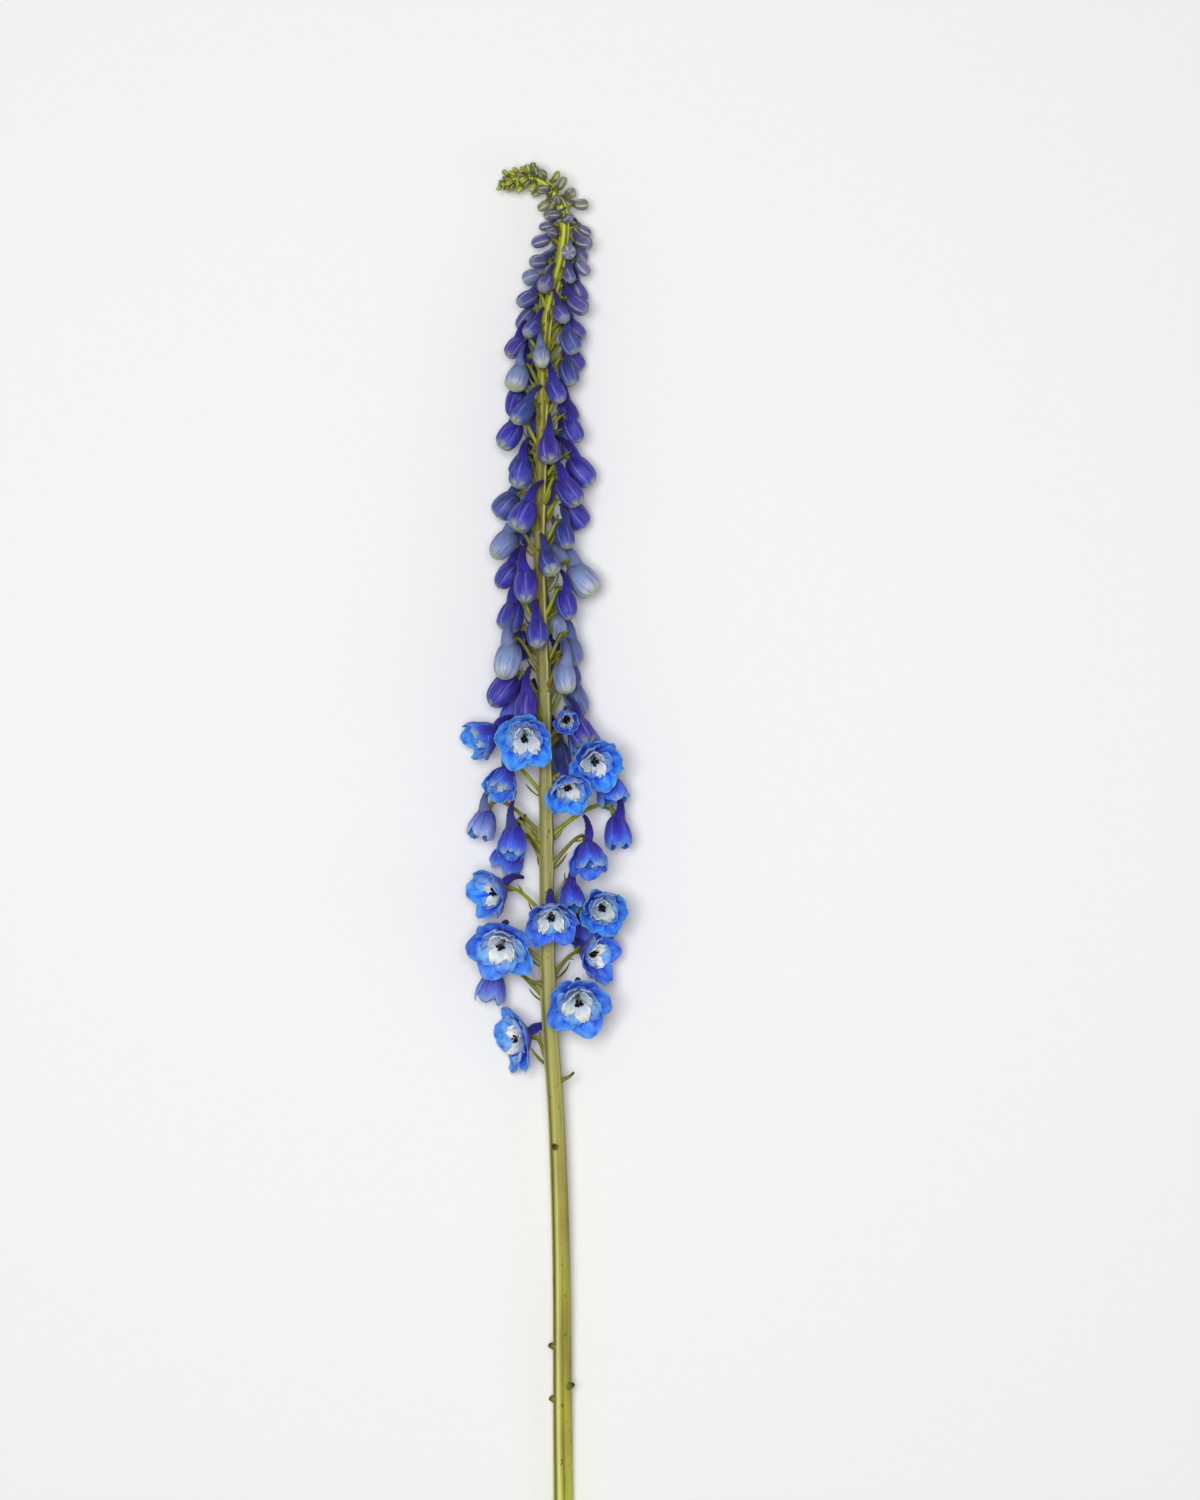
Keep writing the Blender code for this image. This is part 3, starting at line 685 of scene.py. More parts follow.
skin = Skin("scar_skin", 0.7)
worn = skin.cloud(900.0, detail=5.0)
brown = skin.ramp(
    (0.0, 160, 156, 88), (0.5, 142, 138, 62), (0.78, 124, 108, 54), (0.95, 92, 68, 42), (1.0, 66, 48, 32),
)
brown = skin.wash(brown, (worn, 0.45, 0.7, 0.6, (92, 78, 48)))
scar_look = skin.finish(brown, height=worn, depth=0.0006)

scar_sheet, across, run = flat_sheet(14, 12)
chance = random.Random(3)
scars = []
for along, turn, length in LEAF_SCARS:
    out, way = outwards(along, turn)
    root = stalk_at(along) + out * (stalk_radius(along) - 2.0)
    tip = root + out * (2.4 + length) + way * length * 0.6
    knee = root + out * (2.2 + length * 0.5)
    line = []
    for share in np.linspace(0, 1, 9):
        line.append(root * (1 - share) ** 2 + knee * 2 * share * (1 - share) + tip * share**2)
    ways = ways_of(line)
    sizes = np.array(SCAR_SIZES)
    sizes[2:] *= 1.0 if length < STUB_FROM else STUB_SIZE
    line += [tip - out * 0.25, tip - out * 0.5]
    laid = tube_points(across, run, line, [*ways, ways[-1], ways[-1]], sizes)
    torn = np.array([chance.uniform(-TORN, TORN) for _ in laid]) * np.clip(run * 2 - 0.6, 0, 1)
    # The sheet's two long edges meet, so they are torn alike.
    torn[np.isclose(across, 1) | np.isclose(across, 0)] = 0
    laid += np.outer(torn, out) + np.outer(torn, way) * 0.7
    scars.append(bent_copy(scar_sheet, laid, {}))
joined(scars, "leaf_scars", [scar_look], "flower_stalk")

# Floret stalks
# Every floret hangs from a thin stalk of its own, which leaves the spike's stalk upwards, arches over in a
# crook, and widens into the receptacle. It is yellow-green, and greyer or browner towards the floret.

FLARE, LEAST_FLARE = 0.10, 1.25

skin = Skin("stalklet_skin", 0.5, specular=0.35)
green = skin.ramp(
    (0.0, 176, 176, 88), (0.35, 172, 178, 62), (0.8, 152, 160, 62), (1.0, 126, 130, 92)
)
green = skin.wash(
    green,
    (skin.cloud(160.0), 0.45, 0.7, 0.55, (104, 112, 40)),
    (skin.mark("tint"), 0.6, 1.0, 0.5, (120, 104, 84)),
)
stalklet_look = skin.finish(green, height=skin.cloud(2400.0))

stalklet_sheet, across, run = flat_sheet(8, 18)
stalklets = []
for floret in florets:
    line, sizes = stalklet_line(floret, 0.0 if floret.is_bud else 0.4, 16)
    flare = max(LEAST_FLARE, FLARE * floret.length)
    sizes = [size * 0.92 for size in sizes]
    sizes[0] *= 1.5
    sizes[1] *= 1.15
    for station, share in ((-3, 0.55), (-2, 0.80), (-1, 1.0)):
        sizes[station] = max(sizes[station], flare * share)
    ways = ways_of(line)
    line = [line[0], *line, line[-1] + floret.facing * 0.35]
    laid = tube_points(across, run, line, [ways[0], *ways, ways[-1]], [0.0, *sizes, 0.0])
    stalklets.append(bent_copy(stalklet_sheet, laid, {"tint": floret.tint}))
joined(stalklets, "floret_stalks", [stalklet_look], "flower_stalk")

# Bracts
# A narrow pointed leaf stands under the root of every floret stalk, and two smaller ones part way up it. They
# are folded along their midrib, and the older ones are dried brown at their tips.

BRACT_WALL = 0.28
BRACT_AT = (0, 0.12, 0.4, 0.75, 0.95, 1)
BRACT_WIDTHS = (0.75, 0.9, 1.0, 0.62, 0.2, 0.05)
BRACT_FOLD = 0.55

skin = Skin("bract_skin", 0.55, specular=0.3)
leaf = skin.ramp((0.0, 150, 156, 62), (0.5, 158, 162, 56), (1.0, 176, 170, 80))
leaf = skin.wash(
    leaf,
    (skin.reckon("ADD", skin.mark("tint"), skin.along), 1.0, 1.5, 1.0, (128, 98, 58)),
    (skin.off_middle(skin.across), 0.12, 0.0, 0.6, (196, 198, 124)),
)
bract_look = skin.finish(leaf, height=skin.grain(30, 4))

bract_sheet, across, run = flat_sheet(4, 6)


def laid_bract(root, start, bend, lid, length, width, tint):
    """A bract from root, which leaves along start and ends along bend; its upper face looks to lid."""
    share = run[:, None]
    start, bend, lid = (np.array(way.normalized()) for way in (start, bend, lid))
    line = np.array(root) + length * (start * (share - share**2 / 2) + bend * share**2 / 2)
    way = start * (1 - share) + bend * share
    side = np.cross(way, lid)
    side /= np.linalg.norm(side, axis=1)[:, None]
    rise = np.cross(side, way)
    half = width * np.interp(run, BRACT_AT, BRACT_WIDTHS)
    beside = across * 2 - 1
    laid = line + side * (beside * half)[:, None] + rise * (np.abs(beside) * half * BRACT_FOLD)[:, None]
    return bent_copy(bract_sheet, laid, {"tint": tint})


chance = random.Random(17)
bracts = []
for floret in florets:
    line = stalklet_line(floret, 0.0, 16)[0]
    way = stalk_way(floret.root)
    out = square_to(line[1] - stalk_at(floret.root), way)
    root = stalk_at(floret.root - 1.6) + out * (stalk_radius(floret.root) - 0.1)
    spread = way.cross(out) * chance.uniform(-0.35, 0.35)
    size = (0.50 * floret.length + 2.5) * chance.uniform(0.8, 1.15)
    start = out * 0.9 + way * 0.5 + spread
    bend = way + out * chance.uniform(-0.1, 0.5) + spread
    width = 0.085 * size + 0.25
    bracts.append(laid_bract(root, start, bend, way - out * 0.3, size, width, chance.random()))
    for station, hand in ((9, 1), (12, -1)):
        root = line[station]
        way = (line[station + 1] - line[station - 1]).normalized()
        over = square_to(floret.side * hand, way)
        size = (0.27 * floret.length + 1.0) * chance.uniform(0.75, 1.2)
        bend = way + over * chance.uniform(0.2, 0.8)
        width = 0.10 * size + 0.1
        tint = chance.random() * 0.8
        bracts.append(laid_bract(root + over * 0.5, over + way * 0.5, bend, way, size, width, tint))
joined(bracts, "bracts", [bract_look], "flower_stalk", wall=BRACT_WALL)

# Buds
# A bud is an egg of five sepals that lap one over the next, with pale edges and a greenish tip. The upper
# one runs back in a long wrinkled spur. Low buds are violet or blue-grey, and the youngest yellow-green.

SEPALS = 5
STRIPS = 5
# Where the strips of skin across a sepal lie, and how far they stand out, for one edge to lap the next.
LAP_AT = (0.0, 0.07, 0.27, 0.5, 0.73)
LAP_OUT = (-0.5, 0.5, 0.42, 0.22, -0.1)
LAP = 0.030
BUD_PLUMP = 1.15
# A spur's radii from its root to its tip, as shares of its sepals' length.
SPUR_SIZES = (
    0.0, 0.19, 0.218, 0.196, 0.172, 0.150, 0.132, 0.118, 0.106, 0.096, 0.087, 0.079, 0.071, 0.064, 0.056,
    0.048, 0.036, 0.0,
)
OPEN_SPUR_SIZES = (0.0, 0.05, 0.085, 0.105, 0.118, 0.120, *SPUR_SIZES[6:])
# Where a bud's spur starts inside it: before its place, and above it.
SPUR_INSIDE = ((0.38, 0.03), (0.33, 0.04), (0.22, 0.06))
SPUR_HOOK_AT, SPUR_HOOKS = (540, 650), (0.0, 0.34)
SPUR_RIPPLE = 0.09
# Each stretch of the spike's buds is a piece: name, and from where to where their stalks are rooted.
BUD_STRETCHES = (
    ("buds_low", 0, 470), ("buds_middle", 470, 545), ("buds_high", 545, 630), ("buds_tip", 630, 800),
)
SPURRED_FROM = 5

skin = Skin("bud_skin", 0.45, sheen=0.1, specular=0.5)
off_middle = skin.off_middle(skin.reckon("FRACT", skin.times(skin.across, float(SEPALS))))
tint, age = skin.mark("tint"), skin.mark("age")
violet = skin.ramp(
    (0.0, 60, 52, 108), (0.18, 62, 54, 140), (0.5, 78, 70, 178), (0.82, 90, 92, 194), (1.0, 136, 146, 196),
)
pale = skin.ramp(
    (0.0, 112, 126, 130), (0.3, 138, 156, 190), (0.6, 168, 184, 216), (0.85, 206, 214, 216),
    (1.0, 218, 222, 180),
)
slate = skin.ramp((0.0, 70, 84, 88), (0.35, 66, 76, 138), (0.8, 84, 100, 176), (1.0, 150, 166, 180))
egg = skin.mix(skin.fade(tint, 0.62, 0.48), slate, violet)
egg = skin.wash(egg, (tint, 0.30, 0.05, 0.6, (88, 54, 160)))
egg = skin.mix(skin.fade(tint, 0.80, 0.95), egg, pale)
veins = skin.grain(95, 2.2)
egg = skin.wash(
    egg,
    (veins, 0.50, 0.70, 0.45, (138, 140, 226)),
    (veins, 0.48, 0.30, 0.50, (48, 40, 124)),
    (skin.cloud(95.0), 0.52, 0.75, 0.40, (98, 118, 200)),
)
edge = skin.times(skin.fade(off_middle, 0.36, 0.50, 0.0, 0.85), skin.fade(skin.along, 0.1, 0.6, 0.25, 0.75))
egg = skin.mix(edge, egg, tone(150, 166, 222))
rib = skin.times(skin.fade(off_middle, 0.10, 0.0), skin.fade(skin.along, 0.25, 0.75, 0.0, 0.45))
egg = skin.mix(rib, egg, tone(74, 84, 128))
tip = skin.times(skin.fade(skin.along, 0.80, 0.96), skin.fade(off_middle, 0.45, 0.12))
egg = skin.mix(skin.times(tip, 0.85), egg, tone(196, 202, 150))
seam = skin.fade(off_middle, 0.26, 0.48, 0.0, 0.9)
grey = skin.mix(seam, tone(130, 126, 184), tone(222, 226, 166))
green = skin.mix(seam, tone(196, 204, 84), tone(255, 255, 190))
dull = skin.mix(seam, tone(112, 114, 108), tone(236, 238, 172))
green = skin.mix(skin.fade(tint, 0.35, 0.60, 0.0, 0.75), green, dull)
young = skin.mix(skin.fade(age, 0.50, 0.95), grey, green)
young = skin.wash(young, (veins, 0.45, 0.68, 0.35, (92, 98, 96)))
egg = skin.mix(skin.fade(age, 0.05, 0.65), egg, young)
bud_look = skin.finish(egg, skin.fade(veins, 0.3, 0.7, 0.34, 0.50), veins, 0.0004)

skin = Skin("spur_skin", 0.6, sheen=0.2, specular=0.3)
purple = skin.ramp(
    (0.0, 78, 70, 178), (0.28, 72, 64, 172), (0.5, 58, 49, 138), (0.75, 50, 40, 112), (0.94, 54, 44, 102),
    (1.0, 104, 104, 96),
)
wrinkle = skin.mix(skin.fade(skin.along, 0.22, 0.5), skin.grain(46, 3), skin.grain(16, 44, 5.0))
purple = skin.wash(
    purple,
    (wrinkle, 0.50, 0.74, 0.5, (134, 128, 214)),
    (wrinkle, 0.48, 0.30, 0.5, (38, 30, 104)),
)
young = skin.mix(skin.fade(wrinkle, 0.4, 0.6), tone(118, 124, 92), tone(150, 156, 96))
purple = skin.mix(skin.fade(skin.mark("age"), 0.2, 0.9), purple, young)
tint, base = skin.mark("tint"), skin.fade(skin.along, 0.75, 0.2, 0.3, 0.9)
purple = skin.mix(skin.times(skin.fade(tint, 0.48, 0.62), base), purple, tone(76, 90, 154))
purple = skin.mix(skin.times(skin.fade(tint, 0.80, 0.95), base), purple, tone(144, 160, 198))
spur_look = skin.finish(purple, height=wrinkle, depth=0.0006)

spur_sheet, spur_across, spur_run = flat_sheet(10, 21)


def spur_copy(floret, chance, marks):
    """The floret's spur, which flows from its upper sepal back to a blunt tip, a little crooked by chance."""
    length = floret.length
    crook = chance.uniform(-0.07, 0.07) * length
    hook = (chance.uniform(-0.02, 0.06) + float(np.interp(floret.root, SPUR_HOOK_AT, SPUR_HOOKS))) * length
    line = []
    for index, point in enumerate(floret.spur_points(13)):
        back = (index / 12) ** 2
        rise = hook * back - 0.05 * length * (1 - index / 12) ** 2
        line.append(point + floret.side * crook * back + floret.dorsal * rise)
    if floret.is_bud:
        inside = (floret.facing * front + floret.dorsal * up for front, up in SPUR_INSIDE)
        into = [floret.place + spot * length for spot in inside]
    else:
        back = (line[0] - line[1]).normalized()
        into = [line[0] + back * step * length for step in (0.012, 0.010, 0.006)]
    tip = line[-1] + (line[-1] - line[-2]) * 0.35
    line = [*into, *line, tip, tip + (tip - line[-1]) * 0.3]
    ways = ways_of(line)
    sizes = [size * length for size in (SPUR_SIZES if floret.is_bud else OPEN_SPUR_SIZES)]
    laid = tube_points(spur_across, spur_run, line, ways, sizes)
    middle = tube_points(spur_across, spur_run, line, ways, np.zeros(len(line)))
    phase = chance.uniform(0, 6)
    ripple = np.sin(spur_run * 46 + phase + 2 * np.sin(spur_across * 2 * math.pi + phase))
    wrinkled = 1 + SPUR_RIPPLE * ripple * np.clip(spur_run * 4 - 1.3, 0, 1)
    return bent_copy(spur_sheet, middle + (laid - middle) * wrinkled[:, None], marks)


bud_sheet, bud_across, bud_run = flat_sheet(SEPALS * STRIPS, 15)
bud_sepal, bud_strip = np.divmod(np.round(bud_across * SEPALS * STRIPS).astype(int), STRIPS)


def on_floret(floret, aside, up, ahead):
    """Points given by how far they lie beside, above and before the floret's place."""
    spots = np.array(floret.place) + np.outer(aside, floret.side)
    return spots + np.outer(up, floret.dorsal) + np.outer(ahead, floret.facing)


def drawn_in(past, span):
    """The size left of a round end, by how far past its start each point is."""
    return np.sqrt(np.clip(1 - (np.clip(past, 0, 1) / span) ** 2, 0, 1))


def bud_copy(floret, chance, marks):
    """The egg of five lapped sepals, with its pole at the receptacle and its tip drawn to a small star."""
    shares, out, forward, _ = sepal_line(floret.length, floret.opening)
    plump = BUD_PLUMP + 0.10 * (chance.random() - 0.5)
    size = np.interp(bud_run, shares, out) * plump
    size *= drawn_in(0.06 - bud_run, 0.0601)
    size *= drawn_in(bud_run - 0.80, 0.2001) * 0.96 + 0.04
    size[bud_run > 0.999] = 0.0
    strip_at = np.take(LAP_AT, bud_strip)
    around = (bud_sepal + strip_at) / SEPALS + 0.028 * np.sin(bud_run * 3.0)
    lap = LAP * floret.length * np.take(LAP_OUT, bud_strip) * np.sin(np.clip(bud_run, 0, 1) * math.pi) ** 0.6
    ridge = 0.012 * floret.length * np.cos((strip_at - 0.5) * math.pi) * bud_run
    size = np.where(size > 0, size + lap + ridge, 0)
    angle = around * 2 * math.pi + math.pi / 2 + math.pi / 5
    bulge = 1 + 0.10 * np.clip(np.sin(angle), 0, 1) * (1 - bud_run)
    aside, up, ahead = size * np.cos(angle), size * np.sin(angle) * bulge, np.interp(bud_run, shares, forward)
    return bent_copy(bud_sheet, on_floret(floret, aside, up, ahead), marks)


chance = random.Random(23)
for name, low, high in BUD_STRETCHES:
    eggs, spurs = [], []
    for floret in florets:
        if floret.heading is not None and low <= floret.root < high:
            marks = {"tint": floret.tint, "age": floret.age}
            eggs.append(bud_copy(floret, chance, marks))
            if floret.length > SPURRED_FROM:
                spurs.append(spur_copy(floret, chance, marks))
    joined(eggs, name, [bud_look], "flower_stalk")
    joined(spurs, name + "_spurs", [spur_look], "flower_stalk")

# Open florets and big shut ones
# Each has five broad outer sepals, violet outside and azure within, with a callus near the tip, and a ruffled
# inner ring of azure ones. In the shut ones the sepals still lap into a cup with a puckered mouth.

SEPAL_HALF_WIDTH, INNER_HALF_WIDTH = 0.47, 0.38
SHUT_HALF_WIDTH, SHUT_INNER_HALF_WIDTH = 0.40, 0.32
SEPAL_WALL = 0.32
# A sepal's outline: places along it, and how wide it is there.
OUTLINE_AT = (0.0, 0.12, 0.34, 0.55, 0.75, 0.90, 1.0)
OUTLINE = (0.22, 0.38, 0.76, 0.98, 1.04, 0.94, 0.76)
# A sepal's tip is rounded off at its corners and drawn to a small point, or notched in the bee's petals.
TIP_DROP, TIP_ROUNDING, TIP_POINT, TIP_POINT_WIDTH = 0.27, 2.4, 0.03, 0.2
NOTCH_WIDTH = 0.16
# Its rim is toothed and frilled, its face is crinkled, and a keel stands out behind its midrib.
TOOTH, TEETH = 0.018, 9
FRILLS_ALONG, FRILLS_ACROSS = 15, 7
CRINKLE, CRINKLES_ACROSS, CRINKLES_ALONG = 0.24, 10, 12
KEEL, KEEL_WIDTH = 0.35, 0.14
INNER_SEPALS, FEWER_INNER_SEPALS, FEWER_IN_EVERY = 5, 3, 3
SHUT_INNER_SEPALS = 4
SHUT_SWELLING = 1.13

skin = Skin("sepal_face", 0.45, sheen=0.15, specular=0.3)
# The outer sepals' faces darken towards their base, a painted shade where the inner ring overlaps them.
outer = skin.ramp(
    (0.0, 46, 70, 184), (0.3, 44, 104, 244), (0.6, 68, 152, 255), (0.85, 100, 182, 255), (1.0, 150, 212, 255),
)
inner = skin.ramp(
    (0.0, 214, 228, 244), (0.4, 216, 232, 250), (0.72, 158, 208, 255), (1.0, 132, 192, 255)
)
tint = skin.mark("tint")
outer = skin.wash(outer, (tint, 0.28, 0.48, 0.55, (98, 100, 232)))
azure = skin.mix(skin.fade(tint, 0.5, 0.85), outer, inner)
veins = skin.grain(46, 2.5, 4.0)
bloom = skin.grain(4.0, 2.6)
azure = skin.wash(
    azure,
    (bloom, 0.48, 0.70, 0.65, (142, 206, 255)),
    (bloom, 0.50, 0.30, 0.70, (32, 72, 236)),
    (veins, 0.50, 0.70, 0.28, (176, 220, 255)),
    (veins, 0.50, 0.30, 0.42, (30, 58, 214)),
    (skin.cloud(70.0), 0.50, 0.72, 0.55, (96, 84, 222)),
    (skin.off_middle(skin.across), 0.42, 0.50, 0.70, (150, 204, 255)),
)
face_look = skin.finish(azure, skin.fade(veins, 0.3, 0.7, 0.40, 0.55), veins, 0.0005)

skin = Skin("sepal_back", 0.5, sheen=0.2, specular=0.3)
off_middle = skin.off_middle(skin.across)
violet = skin.ramp(
    (0.0, 62, 46, 136), (0.28, 76, 62, 182), (0.55, 90, 84, 216), (0.78, 96, 128, 242), (0.92, 124, 176, 252),
    (1.0, 176, 210, 252),
)
rim = skin.reckon("ADD", off_middle, skin.times(skin.along, 0.35))
veins = skin.grain(52, 2.2, 4.0)
violet = skin.wash(
    violet,
    (rim, 0.38, 0.78, 0.75, (88, 132, 246)),
    (veins, 0.50, 0.72, 0.55, (132, 136, 244)),
    (veins, 0.48, 0.28, 0.55, (46, 38, 140)),
    (skin.cloud(80.0), 0.52, 0.76, 0.45, (150, 160, 246)),
)
pale = skin.ramp((0.0, 84, 90, 150), (0.3, 120, 134, 214), (0.7, 172, 190, 246), (1.0, 214, 224, 240))
violet = skin.mix(skin.fade(skin.mark("tint"), 0.66, 0.95, 0.0, 0.8), violet, pale)
stripe = skin.times(skin.fade(off_middle, 0.055, 0.015), skin.fade(skin.along, 0.35, 0.85, 0.55, 0.15))
violet = skin.mix(stripe, violet, tone(50, 62, 120))
callus = skin.times(skin.fade(off_middle, 0.12, 0.0), skin.fade(skin.along, 0.76, 0.90))
callus = skin.times(callus, skin.fade(skin.along, 1.0, 0.92))
violet = skin.mix(skin.times(callus, 0.75), violet, tone(190, 194, 122))
back_look = skin.finish(violet, skin.fade(veins, 0.3, 0.7, 0.44, 0.60), veins, 0.0005)

sepal_sheet, petal_sheet = flat_sheet(14, 16), flat_sheet(10, 12)


def add_sepal(
    copies, sheet, marks, floret, line, drum, turn, half_width, lap, ruffle, phase, room,
    droop=0.0, notch=0.0, ahead=0.0,
):
    """Adds a sepal or petal: out from the drum at its turn round the floret, its sides curled forward like a
    spoon, one edge over its neighbour and the other under, and its rim ruffled."""
    shares, out, forward, slope = line
    sheet, side, run = sheet
    side = side * 2 - 1
    tip = 1 - TIP_DROP * np.abs(side) ** TIP_ROUNDING + TIP_POINT * np.exp(-((side / TIP_POINT_WIDTH) ** 2))
    tip -= notch * np.exp(-((side / NOTCH_WIDTH) ** 2))
    share = run * tip + TOOTH * ruffle * np.sin(side * TEETH + phase * 2) * run**3
    distance = np.interp(share, shares, out) - float(out[0]) + drum
    lean = np.interp(share, shares, slope)
    half = np.minimum(half_width * np.interp(run, OUTLINE_AT, OUTLINE), distance * math.radians(room))
    hollow = np.maximum(distance, 2.5) * (1 + 0.4 * max(0.0, floret.opening)) + 0.3
    angle = np.clip(side * half / hollow, -1.5, 1.5)
    frills = np.abs(side) ** 2 * np.sin(run * FRILLS_ALONG + phase + (side > 0) * 2.0)
    frills += 0.5 * run * np.sin(side * FRILLS_ACROSS + phase)
    crinkles = CRINKLE * np.sin(side * CRINKLES_ACROSS + phase * 3 + run * 4)
    crinkles = crinkles * np.sin(run * CRINKLES_ALONG + phase) * np.clip(run * 2, 0, 1)
    wave = ruffle * run**2 * frills + crinkles
    keel = KEEL * np.exp(-((side / KEEL_WIDTH) ** 2)) * run * (1 - run)
    lift = hollow * (1 - np.cos(angle)) + lap * side * np.clip(run * 3, 0, 1) + wave - keel - droop * run**4
    reach = distance - lift * np.cos(lean)
    sway = hollow * np.sin(angle)
    turn = math.radians(turn)
    aside = reach * math.cos(turn) - sway * math.sin(turn)
    up = reach * math.sin(turn) + sway * math.cos(turn)
    laid = on_floret(floret, aside, up, np.interp(share, shares, forward) + lift * np.sin(lean))
    copies.append(bent_copy(sheet, laid + np.array(floret.facing) * ahead, marks))


chance = random.Random(31)
open_florets = [floret for floret in florets if not floret.is_bud]
for number, floret in enumerate(open_florets, 1):
    length = floret.length
    copies = []
    for index in range(SEPALS):
        around = 90 + 360 / SEPALS * index
        hood = 0.03 - 0.09 * math.sin(math.radians(around))
        opening = floret.opening + hood
        line = sepal_line(length * chance.uniform(0.99, 1.08), opening + chance.uniform(-0.09, 0.02))
        width = SEPAL_HALF_WIDTH * length * chance.uniform(0.92, 1.06)
        add_sepal(
            copies, sepal_sheet, {"tint": floret.tint * 0.5}, floret, line, THROAT * length,
            around + chance.uniform(-5, 5), width, lap=chance.uniform(0.4, 0.8), ruffle=0.75,
            phase=chance.uniform(0, 6), room=50, droop=chance.uniform(-1.6, 1.2) * floret.opening,
        )
    inner = INNER_SEPALS if number % FEWER_IN_EVERY else FEWER_INNER_SEPALS
    for index in range(inner):
        opening = max(0.1, floret.opening * 0.85 - 0.06)
        line = sepal_line(length * chance.uniform(0.68, 0.86), opening + chance.uniform(-0.06, 0.05))
        around = 126 + 360 / inner * index + chance.uniform(-12, 12)
        add_sepal(
            copies, petal_sheet, {"tint": 0.75 + 0.25 * floret.tint}, floret, line, THROAT * length * 0.95,
            around, INNER_HALF_WIDTH * length * chance.uniform(0.85, 1.1), lap=chance.uniform(0.4, 0.8),
            ruffle=1.1, phase=chance.uniform(0, 6), room=48, droop=chance.uniform(-1.5, 0.8), ahead=0.5,
        )
    name = f"floret_{number:02d}"
    node = name + "_sepals"
    joined(copies, node + "_dressed", [back_look, face_look], node, wall=SEPAL_WALL)
    spur = spur_copy(floret, chance, {"tint": 0.0, "age": 0.0})
    joined([spur], name + "_spur", [spur_look], node)
shut_sepals, shut_spurs = [], []
for floret in florets:
    if not floret.is_bud or floret.heading is not None:
        continue
    length, opening = floret.length, floret.opening
    for index in range(SEPALS):
        line = sepal_line(length * chance.uniform(0.99, 1.04), opening + chance.uniform(-0.03, 0.03))
        shares, out, forward, slope = line
        add_sepal(
            shut_sepals, sepal_sheet, {"tint": floret.tint}, floret,
            (shares, out * SHUT_SWELLING, forward, slope), THROAT * length,
            90 + 360 / SEPALS * index + chance.uniform(-4, 4), SHUT_HALF_WIDTH * length, lap=0.45, ruffle=0.3,
            phase=chance.uniform(0, 6), room=45, droop=chance.uniform(-0.5, 0.8),
        )
    for index in range(SHUT_INNER_SEPALS):
        line = sepal_line(length * chance.uniform(0.84, 0.94), max(0.0, opening - 0.06))
        add_sepal(
            shut_sepals, petal_sheet, {"tint": 1.0}, floret, line, THROAT * length * 0.9, 54 + 90 * index,
            SHUT_INNER_HALF_WIDTH * length, lap=0.5, ruffle=0.5, phase=chance.uniform(0, 6), room=50,
        )
    shut_spurs.append(spur_copy(floret, chance, {"tint": floret.tint, "age": 0.0}))
joined(shut_sepals, "shut_florets", [back_look, face_look], "flower_stalk", wall=SEPAL_WALL)
joined(shut_spurs, "shut_floret_spurs", [spur_look], "flower_stalk")

# Bee petals and stamens
# In each open floret's throat four creamy-white petals make the bee: notched, crumpled and standing forward.
# Between them crowd the stamens, whose anthers are nearly black.

BEE_WALL = 0.38
BEE_PETALS, UPPER_BEE_PETALS = 4, 2
BEE_DRUM, BEE_HALF_WIDTH = 1.35, 0.33
STAMENS, STAMEN_FOOT, STAMEN_SPREAD = 15, 1.8, 1.35
# How far past a stamen's head each ring of its anther lies, and the rings' sizes, the stem's first.
ANTHER_STEPS = (0.0, 0.25, 0.7, 1.15, 1.4, 1.45)
STEM_SIZES = (0.0, 0.17, 0.14, 0.14, 0.2)
ANTHER_SIZES = (0.44, 0.52, 0.46)

skin = Skin("bee_petal", 0.55, sheen=0.1, specular=0.3)
# The petals turn blue-grey towards their base, a painted shade deep in the throat, and creamy white towards
# their tips.
cream = skin.ramp((0.0, 170, 194, 226), (0.35, 220, 230, 240), (0.7, 248, 249, 244), (1.0, 252, 251, 240))
veins = skin.grain(26, 3, 4.0)
cream = skin.wash(
    cream,
    (veins, 0.48, 0.32, 0.4, (168, 190, 226)),
    (skin.cloud(240.0), 0.56, 0.74, 0.4, (204, 210, 160)),
)
bee_look = skin.finish(cream, height=veins, depth=0.0003)

skin = Skin("anther", 0.6, specular=0.25)
dark = skin.wash(
    tone(24, 20, 28),
    (skin.cloud(1500.0), 0.45, 0.7, 1.0, (70, 58, 54)),
    (skin.mark("tint"), 0.75, 0.95, 0.7, (92, 84, 62)),
    (skin.along, 0.50, 0.38, 1.0, (172, 178, 168)),
)
anther_look = skin.finish(dark, height=skin.cloud(3000.0), depth=0.0003)

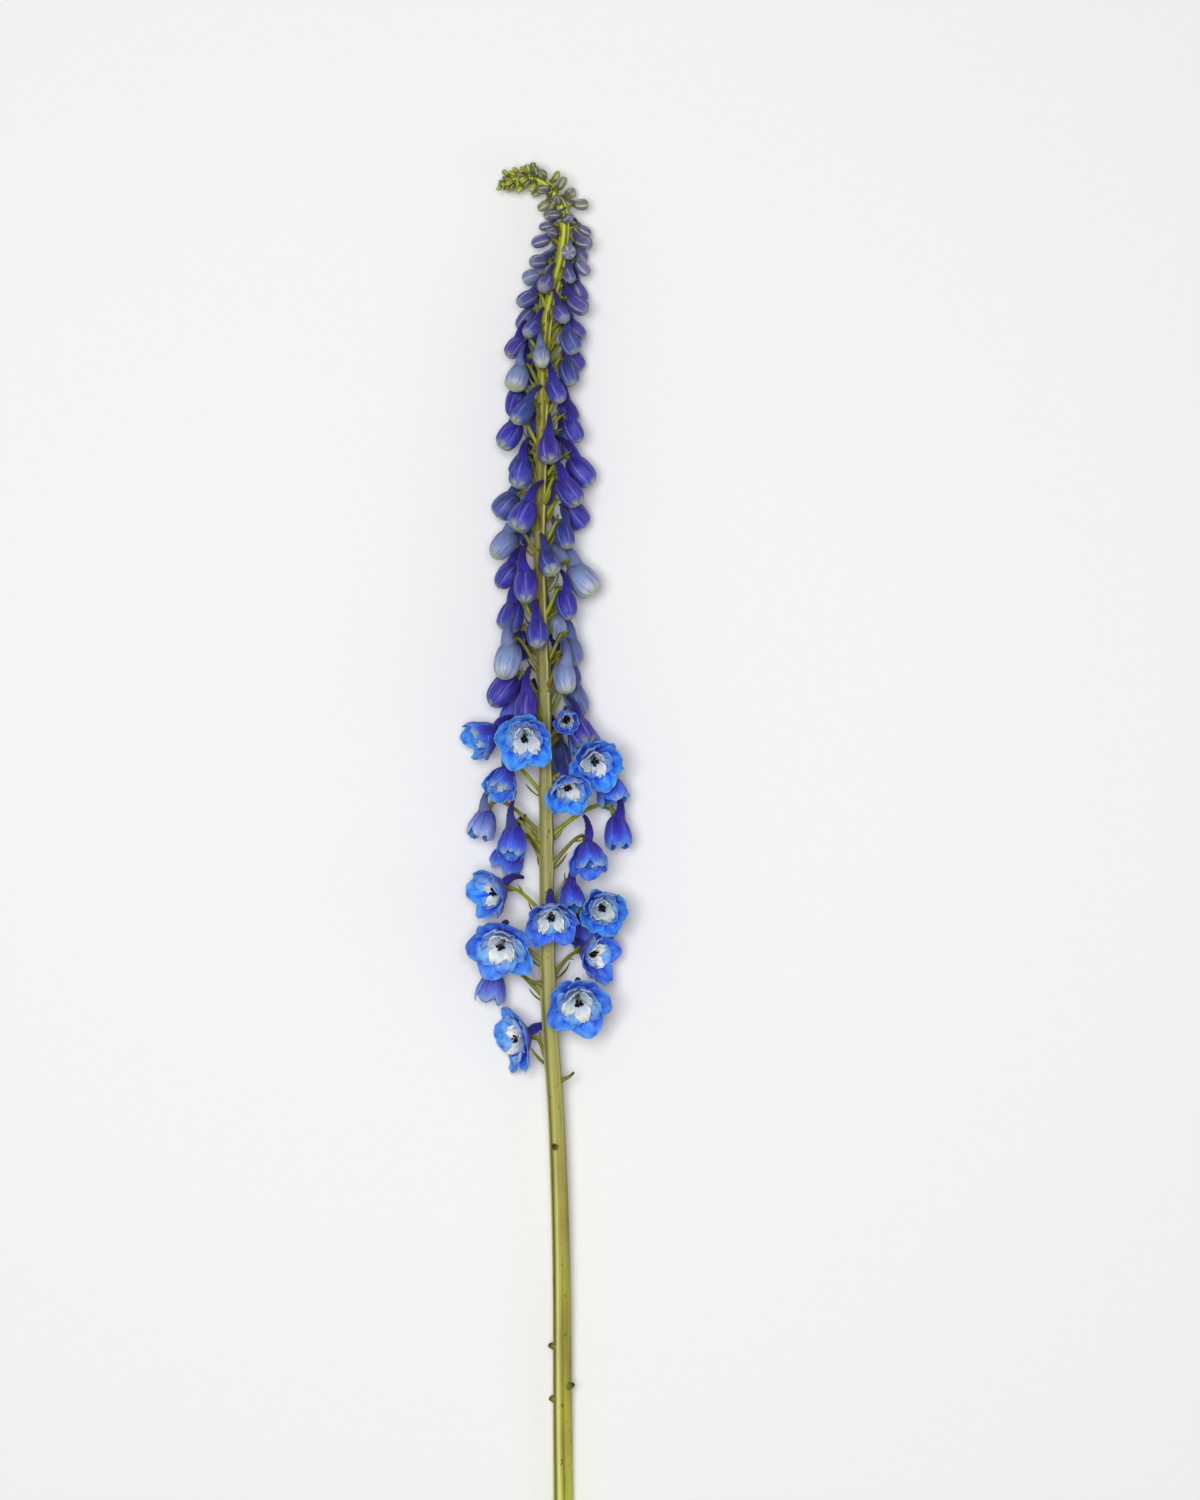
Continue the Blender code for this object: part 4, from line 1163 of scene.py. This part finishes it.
anther_sheet, across, run = flat_sheet(6, 9)
chance = random.Random(41)
for number, floret in enumerate(open_florets, 1):
    small = (0.52 + 0.12 * floret.opening) * floret.length
    petals = []
    for index in range(BEE_PETALS):
        low, high, lean = (0.78, 0.95, -0.12) if index < UPPER_BEE_PETALS else (1.0, 1.25, 0.02)
        opening = min(0.55, floret.opening * 0.7) + lean
        line = sepal_line(small * chance.uniform(low, high), opening + chance.uniform(-0.05, 0.04))
        add_sepal(
            petals, petal_sheet, {}, floret, line, BEE_DRUM, 45 + 90 * index + chance.uniform(-12, 12),
            BEE_HALF_WIDTH * small * chance.uniform(0.85, 1.1), lap=0.3, ruffle=0.7,
            phase=chance.uniform(0, 6), room=46, droop=chance.uniform(-0.8, 0.6),
            notch=chance.uniform(0.16, 0.30), ahead=1.6,
        )
    name = f"floret_{number:02d}"
    joined(petals, name + "_bee_petals", [bee_look], name + "_bee", wall=BEE_WALL)
    stamens = []
    for index in range(STAMENS):
        angle = math.radians(index * GOLDEN_ANGLE + chance.uniform(-40, 40))
        spread = math.sqrt((index + 0.3) / STAMENS) * chance.uniform(0.7, 1.1)
        spoke = turned(floret.side, floret.dorsal, angle)
        foot = floret.place + floret.facing * STAMEN_FOOT + spoke * 0.5 * spread
        head = floret.place + floret.facing * small * chance.uniform(0.48, 0.70)
        head += spoke * STAMEN_SPREAD * spread
        head -= floret.dorsal * 0.3
        nod = floret.facing * chance.uniform(0.2, 0.8) - floret.dorsal * chance.uniform(0.1, 0.8)
        nod = (nod + spoke * chance.uniform(0.2, 0.9)).normalized()
        line = [foot, foot, foot.lerp(head, 0.5) + spoke * 0.15, foot.lerp(head, 0.85)]
        ways = [floret.facing] * len(line) + [nod] * len(ANTHER_STEPS)
        line += [head + nod * step for step in ANTHER_STEPS]
        plump = chance.uniform(0.75, 1.1)
        sizes = [*STEM_SIZES, *(size * plump for size in ANTHER_SIZES), 0.25, 0.0]
        laid = tube_points(across, run, line, ways, sizes)
        stamens.append(bent_copy(anther_sheet, laid, {"tint": chance.random()}))
    joined(stamens, name + "_stamens", [anther_look], name + "_bee")
# The flat sheets were only there to be copied.
for sheet in sheets:
    bpy.data.objects.remove(sheet)
